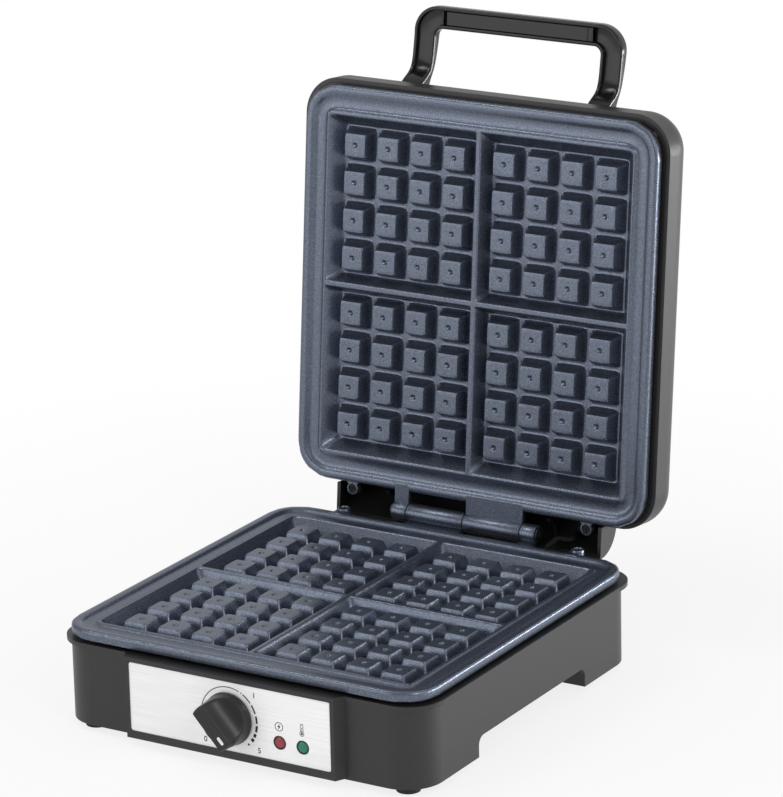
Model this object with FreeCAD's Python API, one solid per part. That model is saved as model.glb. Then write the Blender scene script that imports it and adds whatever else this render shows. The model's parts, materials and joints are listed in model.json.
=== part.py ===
import FreeCAD, Part
import math
import os

# Frame: millimetres, +X to the machine's right, +Y to its rear, +Z up.
# Shapes are drawn with Y from the middle of the waffle plates and Z from the table.
# The lid is drawn closed and then turned open, which is how the machine rests.

# Heights
foot_height = 4.5
casing_height = 47.5
flange_thickness = 2.5
plate_standoff = 1.75
rim_thickness = 5.6
parting_clearance = 0.15

# Origin, under the middle of the open machine and this far behind the middle of the plates
origin_y = 32.2

# Casing
casing_side_margin = 0.5
casing_front_margin = 0.3
casing_rear_margin = 1.8
casing_corner = 21.0
casing_wall = 2.5
flange_overhang = 2.8
flange_front_overhang = 0.7
leg_front_length = 60.0
leg_rear_length = 58.5
notch_height = 11.5
notch_corner = 5.0
leg_width = 30.0
leg_floor = 2.5
cover_thickness = 2.0
cover_clearance = 0.3
cover_post_inset = 41.0
cover_post_size = 9.0
cover_post_height = 12.0
vent_count = 7
vent_pitch = 14.0
vent_length = 60.0
vent_width = 4.0
vent_corner = 1.8

# Feet
foot_radius = 6.6
foot_top_radius = 7.2
foot_inset_x = 16.0
foot_inset_y = 13.0
foot_peg_radius = 2.5
foot_peg_length = 5.0

# Waffle plates
land_width_side = 15.8
land_width_front = 17.0
plate_corner = 20.0
bead_width = 4.5
channel_depth = 1.0
pocket_margin = 17.1
pocket_inner_edge = 1.4
pocket_lean = 6.2
pocket_floor_inner = 5.4
pocket_corner = 3.0
block_first = 16.3
block_pitch = 22.1
block_count = 4
block_top_half = 6.7
block_base_half = 9.7
block_height = 8.5
block_top_drop = 2.0
dimple_radius = 1.6
dimple_depth = 0.9
plate_floor = 3.0
tub_margin = 3.8
tub_corner = 8.0
opening_clearance = 2.5
pad_inset_x = 27.5
pad_inset_y = 8.1
pad_radius = 2.5
hook_x = 60.0
hook_width = 20.0
hook_reach = 5.5
hook_height = 2.2
hook_clearance = 0.3

# Hinge
hinge_reach = 12.3
hinge_rise = 1.8
open_angle = 95.7
barrel_radius = 5.6
pin_radius = 2.5
pin_fit = 0.02
barrel_running = 0.05
barrel_split = 38.0
barrel_end = 48.0
barrel_gap = 0.15
arm_thickness = 3.6
clip_radius = 4.5
clip_thickness = 1.0
pin_overhang = 2.0
lug_inset = 37.3
lug_reach = 4.3
lug_radius = 3.8
lug_gap = 0.9
lug_height = 4.8
lug_recess_radius = 2.7
lug_recess_depth = 2.2
lug_boss_radius = 4.2
ledge_inset = 27.0
ledge_height = 14.0
stop_gap = 0.3
stop_half_width = 55.0
stop_depth = 3.5

# Lid
lid_side_margin = 4.0
lid_front_margin = 3.3
lid_rear_margin = 1.8
lid_corner = 22.0
lid_height = 29.5
lid_round = 18.0
lid_wall = 2.5
frame_clearance = 0.2
frame_post_inset = 14.0
frame_post_radius = 4.0
hood_radius = 18.0
hood_wall = 2.2
hood_reach = 2.3
hood_drop = 5.0
hood_rib_x = 54.0
hood_rib_width = 2.0
hood_rib_clearance = 3.4

# Handle
handle_half_width = 68.5
handle_leg_width = 14.0
handle_bar_width = 13.0
handle_overhang = 45.6
handle_corner = 15.5
handle_inner_corner = 4.5
handle_front_level = 33.6
handle_rear_level = 41.5
handle_rim = 2.2
handle_channel_depth = 3.0
handle_channel_start = 4.8
handle_band = 5.0
insert_left = 47.0
insert_right = 45.0
insert_margin = 0.2
insert_inset = 0.2
# Side outline of the handle: distance past the plates' front edge, and drop from its level
handle_front_curve = [(-9.7, 14.6), (1.3, 13.6), (3.8, 10.1), (6.3, 6.1), (9.3, 3.3), (13.3, 1.8),
                      (20.3, 0.8), (28.3, 0.0)]
handle_rear_curve = [(35.3, 0.0), (29.3, 0.6), (19.3, 2.5), (9.8, 5.3), (1.3, 10.0), (-4.7, 11.9),
                     (-9.7, 13.2)]
handle_screw_rise = 23.9
handle_screw_length = 14.2
handle_screw_room = 0.5
handle_boss_radius = 4.0
handle_boss_inset = 12.7

# Front panel
fascia_half_width = 66.7
fascia_flare = 3.4
fascia_depth = 6.6
fascia_foot = 5.3
fascia_top_gap = 0.1
fascia_wall = 2.3
steel_half_width = 64.2
steel_bottom = 9.8
steel_top_margin = 0.2
steel_thickness = 1.0
steel_inset = 0.5
steel_corner = 1.5
fascia_bay_margin = 6.0
fascia_screw_x = 63.0
fascia_screw_reach = 3.0

# Temperature control and lamps
knob_height = 28.6
knob_radius = 15.0
knob_top_radius = 13.8
knob_depth = 17.0
knob_clearance = 0.4
grip_half_width = 4.4
scoop_radius = 14.0
scoop_lift = 2.0
grip_angle = -47.8
knob_cavity_radius = 12.5
knob_cavity_depth = 3.5
knob_hub_radius = 4.4
knob_clip_wall = 0.9
knob_clip_width = 2.2
pointer_start = 5.5
pointer_length = 5.5
pointer_half_width = 0.9
pointer_inset = 0.5
shaft_radius = 3.0
shaft_fit = 0.02
shaft_running = 0.05
shaft_knob_depth = 12.0
thermostat_half_width = 16.0
thermostat_depth = 22.0
thermostat_half_height = 6.4
thermostat_bore_depth = 14.0
bracket_half_width = 20.0
bracket_half_height = 9.0
bracket_reach = 8.0
bracket_thickness = 1.5
bush_radius = 4.2
nut_radius = 6.5
nut_thickness = 2.5
lamp_height = 20.5
power_lamp_x = 32.0
ready_lamp_x = 46.5
lens_radius = 3.9
lens_clearance = 0.1
lens_flange = 1.6
lens_flange_thickness = 1.5
lens_recess = 0.3
holder_half = 4.6
holder_length = 3.6
holder_clearance = 0.5

# Heating
heater_radius = 3.25
heater_gap = 0.05
heater_run = 50.0
heater_half_length = 50.0
heater_tail = 85.0
clamp_y = 35.0
clamp_half_length = 90.0
clamp_half_width = 6.0
clamp_thickness = 1.2
pillar_radius = 4.0
shield_inset = 1.7
shield_wall = 0.8
shield_gap = 1.0
fuse_radius = 2.0
fuse_half_length = 15.0
fuse_y = 62.0

# Fasteners
screw_radius = 1.5
screw_hole = 1.6
head_radius = 2.6
head_height = 1.2
drive_half = 1.6
drive_slot = 0.5
drive_depth = 0.7
screw_length = 8.0

# Supply
gland_x = -30.0
gland_height = 29.0
gland_radius = 7.0
gland_bore = 4.0
gland_flange = 2.0
gland_flange_thickness = 2.0
gland_nut_thickness = 3.0
block_x = -40.0
block_half_width = 17.0
block_inset = 16.7
block_half_depth = 9.0
block_rise = 13.0
terminal_count = 3
terminal_pitch = 10.0
terminal_radius = 2.2
lead_radius = 2.0
lead_hole = 2.3
lead_x = 57.0
lead_reach = 6.3
lead_riser_top = 57.0
lead_meet_x = 64.0
lead_meet_gap = 0.3
lead_entry = 61.0
lead_turn_x = 69.0
lead_lid_rise = 7.0
lead_bend = 3.6
lead_inset = 8.7
lead_rise_reach = 10.3

# Outlines that follow from the grid of blocks
pocket_edge = block_first + (block_count - 1) * block_pitch + pocket_margin
pocket_floor_outer = pocket_edge - pocket_lean
tub_half = pocket_edge + tub_margin
shield_half = pocket_edge - shield_inset
plate_half_width = pocket_edge + land_width_side
plate_half_depth = pocket_edge + land_width_front
casing_half_width = plate_half_width + casing_side_margin
casing_front = plate_half_depth + casing_front_margin
casing_rear = plate_half_depth + casing_rear_margin
cover_post_x = casing_half_width - cover_post_inset
notch_front = casing_front - leg_front_length
notch_rear = casing_rear - leg_rear_length
pad_x = plate_half_width - pad_inset_x
pad_y = plate_half_depth - pad_inset_y
hinge_y = plate_half_depth + hinge_reach
lug_x = plate_half_width - lug_inset
lug_y = plate_half_depth + lug_reach
ledge_half_width = plate_half_width - ledge_inset
lid_half_width = plate_half_width + lid_side_margin
lid_front = plate_half_depth + lid_front_margin
lid_rear = plate_half_depth + lid_rear_margin
hood_centre_y = plate_half_depth + hood_reach
handle_reach = plate_half_depth + handle_overhang
handle_boss_end = plate_half_depth - handle_boss_inset
block_y = plate_half_depth - block_inset
lead_y = plate_half_depth + lead_reach
lead_rise_y = plate_half_depth + lead_rise_reach
lead_inside = plate_half_depth - lead_inset

# Levels that follow from the sizes
casing_top = foot_height + casing_height
flange_bottom = casing_top - flange_thickness
rim_bottom = casing_top + plate_standoff
rim_top = rim_bottom + rim_thickness
parting = rim_top + parting_clearance
block_top = parting - block_top_drop
pocket_floor = block_top - block_height
tub_bottom = pocket_floor - plate_floor
hinge_z = parting + hinge_rise
lid_rim = 2 * parting - casing_top
lid_top = lid_rim + lid_height
notch_top = foot_height + notch_height
cover_bottom = notch_top
cover_top = cover_bottom + cover_thickness
frame_top = lid_rim + flange_thickness
opening_half = tub_half + opening_clearance
inner_half_width = casing_half_width - casing_wall
inner_front = casing_front - casing_wall
inner_rear = casing_rear - casing_wall
fascia_front = casing_front + fascia_depth
steel_front = fascia_front - steel_inset
steel_back = steel_front - steel_thickness
ledge_rear = hinge_y
hood_inner = hood_radius - hood_wall
hood_bottom = lid_rim - hood_drop
lower_lug_top = hinge_z - lug_gap
upper_lug_face = hinge_z + lug_gap
lid_boss_low = upper_lug_face + lug_height


def vec(x, y, z):
    return FreeCAD.Vector(x, y, z)


def box(x0, x1, y0, y1, z0, z1):
    return Part.makeBox(x1 - x0, y1 - y0, z1 - z0, vec(x0, y0, z0))


def cyl_x(radius, x0, x1, y, z):
    return Part.makeCylinder(radius, x1 - x0, vec(x0, y, z), vec(1, 0, 0))


def cyl_y(radius, y0, y1, x, z):
    return Part.makeCylinder(radius, y1 - y0, vec(x, y0, z), vec(0, 1, 0))


def cyl_z(radius, z0, z1, x, y):
    return Part.makeCylinder(radius, z1 - z0, vec(x, y, z0), vec(0, 0, 1))


def round_wire(x0, x1, y0, y1, r, z):
    # Rectangle with four quarter-circle corners, at one height.
    h = r * (1 - math.sqrt(0.5))
    edges = [
        Part.LineSegment(vec(x0 + r, y0, z), vec(x1 - r, y0, z)),
        Part.Arc(vec(x1 - r, y0, z), vec(x1 - h, y0 + h, z), vec(x1, y0 + r, z)),
        Part.LineSegment(vec(x1, y0 + r, z), vec(x1, y1 - r, z)),
        Part.Arc(vec(x1, y1 - r, z), vec(x1 - h, y1 - h, z), vec(x1 - r, y1, z)),
        Part.LineSegment(vec(x1 - r, y1, z), vec(x0 + r, y1, z)),
        Part.Arc(vec(x0 + r, y1, z), vec(x0 + h, y1 - h, z), vec(x0, y1 - r, z)),
        Part.LineSegment(vec(x0, y1 - r, z), vec(x0, y0 + r, z)),
        Part.Arc(vec(x0, y0 + r, z), vec(x0 + h, y0 + h, z), vec(x0 + r, y0, z)),
    ]
    return Part.Wire([edge.toShape() for edge in edges])


def round_slab(x0, x1, y0, y1, r, z0, z1):
    return Part.Face(round_wire(x0, x1, y0, y1, r, z0)).extrude(vec(0, 0, z1 - z0))


def polygon_slab(points, direction):
    return Part.Face(Part.makePolygon(points + points[:1])).extrude(direction)


def join(shapes):
    return shapes[0].multiFuse(shapes[1:]).removeSplitter()


def corners():
    return [(sx, sy) for sx in (-1, 1) for sy in (-1, 1)]


def mirror_up(shape):
    # The lid's pieces face the base's across the parting plane.
    return shape.mirror(vec(0, 0, parting), vec(0, 0, 1))


def open_lid(shape):
    turned = shape.copy()
    turned.rotate(vec(0, hinge_y, hinge_z), vec(1, 0, 0), -open_angle)
    return turned


def screw(length):
    # Pan head on z = 0, shank down, with a cross recess.
    head = cyl_z(head_radius, 0, head_height, 0, 0)
    shank = cyl_z(screw_radius, -length, 0, 0, 0)
    top = head_height
    cut_a = box(-drive_half, drive_half, -drive_slot / 2, drive_slot / 2, top - drive_depth, top)
    cut_b = box(-drive_slot / 2, drive_slot / 2, -drive_half, drive_half, top - drive_depth, top)
    return head.fuse(shank).cut(cut_a.fuse(cut_b))


def place_screw(length, x, y, z, axis):
    # The axis points out of the head.
    piece = screw(length)
    turn = FreeCAD.Rotation(vec(0, 0, 1), axis)
    piece.Placement = FreeCAD.Placement(vec(x, y, z), turn)
    return piece


def tube(points, bends, radius):
    # Straight runs joined by tangent arcs, one bend radius per inner point.
    edges = []
    start = points[0]
    for before, corner, after, bend in zip(points, points[1:], points[2:], bends):
        inward = (before - corner).normalize()
        outward = (after - corner).normalize()
        half = math.acos(max(-1, min(1, inward.dot(outward)))) / 2
        setback = bend / math.tan(half)
        first = corner + inward * setback
        last = corner + outward * setback
        bisector = (inward + outward).normalize()
        middle = corner + bisector * (bend / math.sin(half) - bend)
        edges.append(Part.LineSegment(start, first).toShape())
        edges.append(Part.Arc(first, middle, last).toShape())
        start = last
    edges.append(Part.LineSegment(start, points[-1]).toShape())
    direction = points[1] - points[0]
    section = Part.Wire([Part.Circle(points[0], direction, radius).toShape()])
    return Part.Wire(edges).makePipeShell([section], True, True)


def make_casing():
    outline = (-casing_half_width, casing_half_width, -casing_front, casing_rear)
    body = round_slab(*outline, casing_corner, foot_height, flange_bottom)
    flange = round_slab(
        outline[0] - flange_overhang, outline[1] + flange_overhang, outline[2] - flange_front_overhang,
        outline[3] + flange_overhang, casing_corner, flange_bottom, casing_top)
    ledge = box(-ledge_half_width, ledge_half_width, inner_rear, ledge_rear,
                casing_top - ledge_height, casing_top)
    lip = fascia_prism(0, flange_bottom, casing_top)
    outside = join([body, flange, ledge, lip])
    inner_corner = casing_corner - casing_wall
    bay = round_slab(-inner_half_width, inner_half_width, -inner_front, inner_rear, inner_corner,
                     foot_height, flange_bottom)
    chamber = box(-ledge_half_width + casing_wall, ledge_half_width - casing_wall, inner_rear,
                  ledge_rear - casing_wall, casing_top - ledge_height + casing_wall, flange_bottom)
    opening = round_slab(-opening_half, opening_half, -opening_half, opening_half, tub_corner,
                         flange_bottom, casing_top)
    shell = outside.cut(join([bay, chamber, opening]))
    shell = join([shell] + make_legs(body, bay))
    notch = round_slab(-notch_top - notch_corner, -foot_height + notch_top, -notch_front, notch_rear,
                       notch_corner, -casing_half_width, casing_half_width)
    notch.rotate(vec(0, 0, 0), vec(0, 1, 0), 90)
    notch.translate(vec(0, 0, notch_top - notch.BoundBox.ZMax))
    pads = [cyl_z(pad_radius, casing_top, rim_bottom, s * pad_x, -pad_y) for s in (-1, 1)]
    bosses = [cyl_z(lug_boss_radius, casing_top, lower_lug_top - lug_height, s * lug_x, lug_y)
              for s in (-1, 1)]
    posts = [cover_post(sx, sy) for sx, sy in corners()]
    stop_top = hinge_z - hood_lip_radius() - stop_gap
    stop = box(-stop_half_width, stop_half_width, ledge_rear - stop_depth, ledge_rear,
               casing_top, stop_top)
    shell = join([shell.cut(notch)] + pads + bosses + posts + [stop])
    return shell.cut(join(casing_holes()))


def hood_lip_radius():
    return math.hypot(hood_centre_y + hood_radius - hinge_y, hood_bottom - hinge_z)


def make_legs(body, bay):
    legs = []
    for sx, sy in corners():
        reach_y = casing_front - notch_front if sy < 0 else casing_rear - notch_rear
        edge_y = casing_front if sy < 0 else casing_rear
        x0, x1 = sorted((sx * casing_half_width, sx * (casing_half_width - leg_width)))
        y0, y1 = sorted((sy * edge_y, sy * (edge_y - reach_y)))
        block = box(x0, x1, y0, y1, foot_height, cover_bottom).common(body)
        room = box(x0 + casing_wall, x1 - casing_wall, y0 + casing_wall, y1 - casing_wall,
                   foot_height + leg_floor, cover_bottom)
        legs.append(block.cut(room.common(bay)))
    return legs


def cover_post(sx, sy):
    edge = inner_front if sy < 0 else inner_rear
    x0 = sx * cover_post_x - cover_post_size / 2
    y0, y1 = sorted((sy * edge, sy * (edge - cover_post_size)))
    return box(x0, x0 + cover_post_size, y0, y1, cover_top, cover_top + cover_post_height)


def cover_screw_spots():
    spots = []
    for sx, sy in corners():
        edge = inner_front if sy < 0 else inner_rear
        spots.append((sx * cover_post_x, sy * (edge - cover_post_size / 2)))
    return spots


def foot_spots():
    spots = {}
    for sx, sy in corners():
        edge = casing_front if sy < 0 else casing_rear
        name = "foot_%s_%s" % ("front" if sy < 0 else "rear", "left" if sx < 0 else "right")
        spots[name] = (sx * (casing_half_width - foot_inset_x), sy * (edge - foot_inset_y))
    return spots


def casing_holes():
    holes = [cyl_z(screw_hole, flange_bottom, lower_lug_top, s * lug_x, lug_y) for s in (-1, 1)]
    for x, y in cover_screw_spots():
        holes.append(cyl_z(screw_hole, cover_top, cover_top + cover_post_height, x, y))
    for x, y in foot_spots().values():
        holes.append(cyl_z(foot_peg_radius, foot_height, foot_height + leg_floor, x, y))
    front = (-casing_front, -inner_front)
    holes.append(cyl_y(bush_radius + holder_clearance, *front, 0, knob_height))
    for x in (power_lamp_x, ready_lamp_x):
        half = holder_half + holder_clearance
        holes.append(box(x - half, x + half, *front, lamp_height - half, lamp_height + half))
    for s in (-1, 1):
        holes.append(cyl_y(screw_hole, *front, s * fascia_screw_x, knob_height))
    holes.append(cyl_y(gland_radius, inner_rear, casing_rear, gland_x, gland_height))
    holes.append(cyl_z(lead_hole, flange_bottom, casing_top, lead_x, lead_y))
    return holes


def make_bottom_cover():
    gap = cover_clearance
    slab = round_slab(-inner_half_width + gap, inner_half_width - gap, -inner_front + gap,
                      inner_rear - gap, casing_corner - casing_wall - gap, cover_bottom, cover_top)
    first = -(vent_count - 1) * vent_pitch / 2
    cuts = []
    for i in range(vent_count):
        x = first + i * vent_pitch
        cuts.append(round_slab(x - vent_width / 2, x + vent_width / 2, -vent_length / 2,
                               vent_length / 2, vent_corner, cover_bottom, cover_top))
    cuts += [cyl_z(screw_hole, cover_bottom, cover_top, x, y) for x, y in cover_screw_spots()]
    return slab.cut(join(cuts))


def make_foot(x, y):
    pad = Part.makeCone(foot_radius, foot_top_radius, foot_height, vec(x, y, 0), vec(0, 0, 1))
    peg = cyl_z(foot_peg_radius, foot_height, foot_height + foot_peg_length, x, y)
    return pad.fuse(peg)


def make_block():
    # Square frustum with a small dished centre.
    low = block_base_half
    high = block_top_half
    bottom = Part.makePolygon([vec(-low, -low, 0), vec(low, -low, 0), vec(low, low, 0),
                               vec(-low, low, 0), vec(-low, -low, 0)])
    top = Part.makePolygon([vec(-high, -high, block_height), vec(high, -high, block_height),
                            vec(high, high, block_height), vec(-high, high, block_height),
                            vec(-high, -high, block_height)])
    body = Part.makeLoft([bottom, top], True, True)
    dish = Part.makeCone(0, dimple_radius, dimple_depth, vec(0, 0, block_height - dimple_depth))
    return body.cut(dish)


def make_pocket(sx, sy):
    # A waffle bay: its walls lean outwards from the floor to the edge.
    top_z = rim_top - channel_depth
    wires = []
    for inner, outer, z in ((pocket_floor_inner, pocket_floor_outer, pocket_floor),
                            (pocket_inner_edge, pocket_edge, top_z)):
        x0, x1 = sorted((sx * inner, sx * outer))
        y0, y1 = sorted((sy * inner, sy * outer))
        wires.append(round_wire(x0, x1, y0, y1, pocket_corner, z))
    return Part.makeLoft(wires, True, True)


def make_plate():
    # Lower waffle plate without its hinge barrels.
    rim = round_slab(-plate_half_width, plate_half_width, -plate_half_depth, plate_half_depth,
                     plate_corner, rim_bottom, rim_top)
    tub = round_slab(-tub_half, tub_half, -tub_half, tub_half, tub_corner, tub_bottom, rim_bottom)
    channel = round_slab(-plate_half_width + bead_width, plate_half_width - bead_width,
                         -plate_half_depth + bead_width, plate_half_depth - bead_width,
                         plate_corner - bead_width, rim_top - channel_depth, rim_top)
    pillars = [cyl_z(pillar_radius, clamp_top(), tub_bottom, x, y) for x, y in pillar_spots()]
    hooks = []
    for s in (-1, 1):
        hooks.append(box(s * hook_x - hook_width / 2, s * hook_x + hook_width / 2,
                         -tub_half - hook_reach, -tub_half,
                         flange_bottom - hook_clearance - hook_height,
                         flange_bottom - hook_clearance))
    pockets = [make_pocket(sx, sy) for sx, sy in corners()]
    plate = join([rim, tub] + pillars + hooks).cut(join([channel] + pockets))
    blocks = []
    shape = make_block()
    for sx, sy in corners():
        for i in range(block_count):
            for j in range(block_count):
                block = shape.copy()
                block.translate(vec(sx * (block_first + i * block_pitch),
                                    sy * (block_first + j * block_pitch), pocket_floor))
                blocks.append(block)
    plate = plate.multiFuse(blocks)
    holes = [cyl_z(screw_radius, clamp_top(), tub_bottom, x, y) for x, y in pillar_spots()]
    return plate.cut(join(holes))


def clamp_top():
    return tub_bottom - 2 * heater_radius - heater_gap


def pillar_spots():
    return [(x, s * clamp_y) for x in (-heater_run, 0, heater_run) for s in (-1, 1)]


def add_barrels(plate, spans, running, arm_bottom):
    # Cast knuckles on the hinge axis, each on an arm from the plate's rear edge.
    adds = []
    for x0, x1 in spans:
        adds.append(cyl_x(barrel_radius, x0, x1, hinge_y, hinge_z))
        adds.append(box(x0, x1, plate_half_depth - bead_width, hinge_y, arm_bottom,
                        arm_bottom + arm_thickness))
    whole = join([plate] + adds)
    return whole.cut(cyl_x(pin_radius + running, -barrel_end, barrel_end, hinge_y, hinge_z))


def add_lugs(plate, top):
    # Rear screw lugs, recessed for the screw heads.
    low = top - lug_height
    adds = []
    cuts = []
    for s in (-1, 1):
        x = s * lug_x
        adds.append(cyl_z(lug_radius, low, top, x, lug_y))
        adds.append(box(x - lug_radius, x + lug_radius, plate_half_depth - bead_width, lug_y,
                        max(low, rim_bottom), min(top, rim_top)))
        cuts.append(cyl_z(lug_recess_radius, top - lug_recess_depth, top, x, lug_y))
        cuts.append(cyl_z(screw_hole, low, top, x, lug_y))
    return join([plate] + adds).cut(join(cuts))


def knuckle_spans(side):
    g = barrel_gap
    long_span = sorted((side * g, side * (barrel_split - g)))
    short_span = sorted((-side * (barrel_split + g), -side * (barrel_end - g)))
    return [long_span, short_span]


def make_heater():
    # One tube in four runs, joined by half-round bends.
    z = tub_bottom - heater_radius - heater_gap
    bend = heater_run / 2
    first = -1.5 * heater_run
    edges = []
    tails = (heater_tail, heater_half_length)
    for run in range(4):
        x = first + run * heater_run
        forward = run % 2 == 0
        rear = tails[0] if run in (0, 3) else tails[1]
        ends = [vec(x, rear, z), vec(x, -heater_half_length, z)]
        if not forward:
            ends.reverse()
        edges.append(Part.LineSegment(*ends).toShape())
        if run < 3:
            y = -heater_half_length if forward else heater_half_length
            side = -1 if forward else 1
            edges.append(Part.Arc(vec(x, y, z), vec(x + bend, y + side * bend, z),
                                  vec(x + heater_run, y, z)).toShape())
    section = Part.Wire([Part.Circle(vec(first, heater_tail, z), vec(0, 1, 0),
                                     heater_radius).toShape()])
    return Part.Wire(edges).makePipeShell([section], True, True)


def make_clamps():
    strips = []
    for s in (-1, 1):
        strip = box(-clamp_half_length, clamp_half_length, s * clamp_y - clamp_half_width,
                    s * clamp_y + clamp_half_width, clamp_top() - clamp_thickness, clamp_top())
        holes = [cyl_z(screw_hole, clamp_top() - clamp_thickness, clamp_top(), x, y)
                 for x, y in pillar_spots()]
        strips.append(strip.cut(join(holes)))
    return Part.makeCompound(strips)


def make_clamp_screws():
    level = clamp_top() - clamp_thickness
    length = tub_bottom - level
    return Part.makeCompound([place_screw(length, x, y, level, vec(0, 0, -1))
                              for x, y in pillar_spots()])


def make_shield():
    # Sheet tray seated against the plate's underside, round the heater.
    inside = clamp_top() - clamp_thickness - head_height - shield_gap
    outer = box(-shield_half, shield_half, -shield_half, shield_half, inside - shield_wall,
                tub_bottom)
    wall = shield_half - shield_wall
    room = box(-wall, wall, -wall, wall, inside, tub_bottom)
    return outer.cut(room)


def fascia_prism(inset, z0, z1):
    # The front panel's plan: a flat face with sides that flare back to the casing.
    front = -fascia_front + inset
    face = fascia_half_width - inset
    foot = fascia_half_width + fascia_flare - inset
    points = [vec(-face, front, z0), vec(face, front, z0), vec(foot, -casing_front, z0),
              vec(-foot, -casing_front, z0)]
    return polygon_slab(points, vec(0, 0, z1 - z0))


def make_fascia():
    top = flange_bottom - fascia_top_gap
    body = fascia_prism(0, fascia_foot, top)
    seat = round_slab(-steel_half_width, steel_half_width, steel_bottom, top + 2 * steel_corner,
                      steel_corner, steel_back, fascia_front)
    bay_half = steel_half_width - fascia_bay_margin
    bay = box(-bay_half, bay_half, -steel_back + fascia_wall, -casing_front,
              fascia_foot + fascia_bay_margin, top - fascia_bay_margin)
    holes = [cyl_y(bush_radius, -fascia_front, -casing_front, 0, knob_height)]
    for x in (power_lamp_x, ready_lamp_x):
        holes.append(cyl_y(lens_radius + lens_clearance, -fascia_front, -casing_front, x,
                           lamp_height))
    for s in (-1, 1):
        holes.append(cyl_y(screw_radius, -casing_front - fascia_screw_reach, -casing_front,
                           s * fascia_screw_x, knob_height))
    return body.cut(join([stand_up(seat), bay] + holes))


def stand_up(slab):
    # Turns a slab drawn in plan so that its height points to the front.
    turned = slab.copy()
    turned.rotate(vec(0, 0, 0), vec(1, 0, 0), 90)
    return turned


def steel_top():
    return flange_bottom - fascia_top_gap - steel_top_margin


def make_steel_plate():
    slab = stand_up(round_slab(-steel_half_width, steel_half_width, steel_bottom, steel_top(),
                               steel_corner, steel_back, steel_front))
    holes = [cyl_y(bush_radius, -fascia_front, -casing_front, 0, knob_height)]
    for x in (power_lamp_x, ready_lamp_x):
        holes.append(cyl_y(lens_radius + lens_clearance, -fascia_front, -casing_front, x,
                           lamp_height))
    return slab.cut(join(holes))


def lens_back():
    return -steel_back + fascia_wall


def make_lens(x):
    stem = cyl_y(lens_radius, -steel_front + lens_recess, lens_back(), x, lamp_height)
    rim = cyl_y(lens_radius + lens_flange, lens_back(), lens_back() + lens_flange_thickness, x,
                lamp_height)
    return stem.fuse(rim)


def make_lamp_holders():
    start = lens_back() + lens_flange_thickness
    return Part.makeCompound([box(x - holder_half, x + holder_half, start, start + holder_length,
                                  lamp_height - holder_half, lamp_height + holder_half)
                              for x in (power_lamp_x, ready_lamp_x)])


def bracket_front():
    return -inner_front + bracket_reach


def make_bracket():
    face = box(-bracket_half_width, bracket_half_width, bracket_front(),
               bracket_front() + bracket_thickness, knob_height - bracket_half_height,
               knob_height + bracket_half_height)
    sides = []
    for s in (-1, 1):
        x0, x1 = sorted((s * bracket_half_width, s * (bracket_half_width - bracket_thickness)))
        sides.append(box(x0, x1, -inner_front, bracket_front(),
                         knob_height - bracket_half_height, knob_height + bracket_half_height))
    hole = cyl_y(bush_radius, bracket_front(), bracket_front() + bracket_thickness, 0, knob_height)
    return join([face] + sides).cut(hole)


def make_thermostat():
    back = bracket_front() + bracket_thickness
    body = box(-thermostat_half_width, thermostat_half_width, back, back + thermostat_depth,
               knob_height - thermostat_half_height, knob_height + thermostat_half_height)
    bush = cyl_y(bush_radius, bracket_front() - nut_thickness, back, 0, knob_height)
    bore = cyl_y(shaft_radius + shaft_running, bracket_front() - nut_thickness,
                 back + thermostat_bore_depth, 0, knob_height)
    return body.fuse(bush).cut(bore)


def make_nut():
    points = []
    for i in range(6):
        a = math.radians(60 * i)
        points.append(vec(nut_radius * math.cos(a), bracket_front() - nut_thickness,
                          knob_height + nut_radius * math.sin(a)))
    nut = polygon_slab(points, vec(0, nut_thickness, 0))
    return nut.cut(cyl_y(bush_radius, bracket_front() - nut_thickness, bracket_front(), 0,
                         knob_height))


def place_knob(shape):
    # Drawn along +Z with the grip on +X, then set on the panel.
    turned = shape.copy()
    turned.rotate(vec(0, 0, 0), vec(0, 0, 1), grip_angle)
    turned.rotate(vec(0, 0, 0), vec(1, 0, 0), 90)
    turned.translate(vec(0, -steel_front, knob_height))
    return turned


def make_knob():
    low = knob_clearance
    top = low + knob_depth
    body = Part.makeCone(knob_radius, knob_top_radius, knob_depth, vec(0, 0, low))
    scoops = []
    for s in (-1, 1):
        y = s * (grip_half_width + scoop_radius)
        scoops.append(cyl_x(scoop_radius, -knob_radius, knob_radius, y, top + scoop_lift))
    hollow = cyl_z(knob_cavity_radius, low, low + knob_cavity_depth, 0, 0)
    hub = cyl_z(knob_hub_radius, low, low + knob_cavity_depth, 0, 0)
    bore = cyl_z(shaft_radius + shaft_fit, low, low + shaft_knob_depth, 0, 0)
    mark = pointer_block(top)
    return place_knob(body.cut(join(scoops)).cut(hollow.cut(hub)).cut(bore.fuse(mark)))


def pointer_block(top):
    return box(pointer_start, pointer_start + pointer_length, -pointer_half_width,
               pointer_half_width, top - pointer_inset, top)


def make_pointer():
    return place_knob(pointer_block(knob_clearance + knob_depth))


def make_knob_clip():
    low = knob_clearance
    ring = cyl_z(knob_hub_radius + knob_clip_wall, low, low + knob_clip_width, 0, 0)
    bore = cyl_z(knob_hub_radius, low, low + knob_clip_width, 0, 0)
    gap = box(0, knob_radius, -screw_radius, screw_radius, low, low + knob_clip_width)
    return place_knob(ring.cut(bore.fuse(gap)))


def make_shaft():
    front = -steel_front - knob_clearance - shaft_knob_depth
    back = bracket_front() + bracket_thickness + thermostat_bore_depth - knob_clearance
    return cyl_y(shaft_radius, front, back, 0, knob_height)


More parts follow.
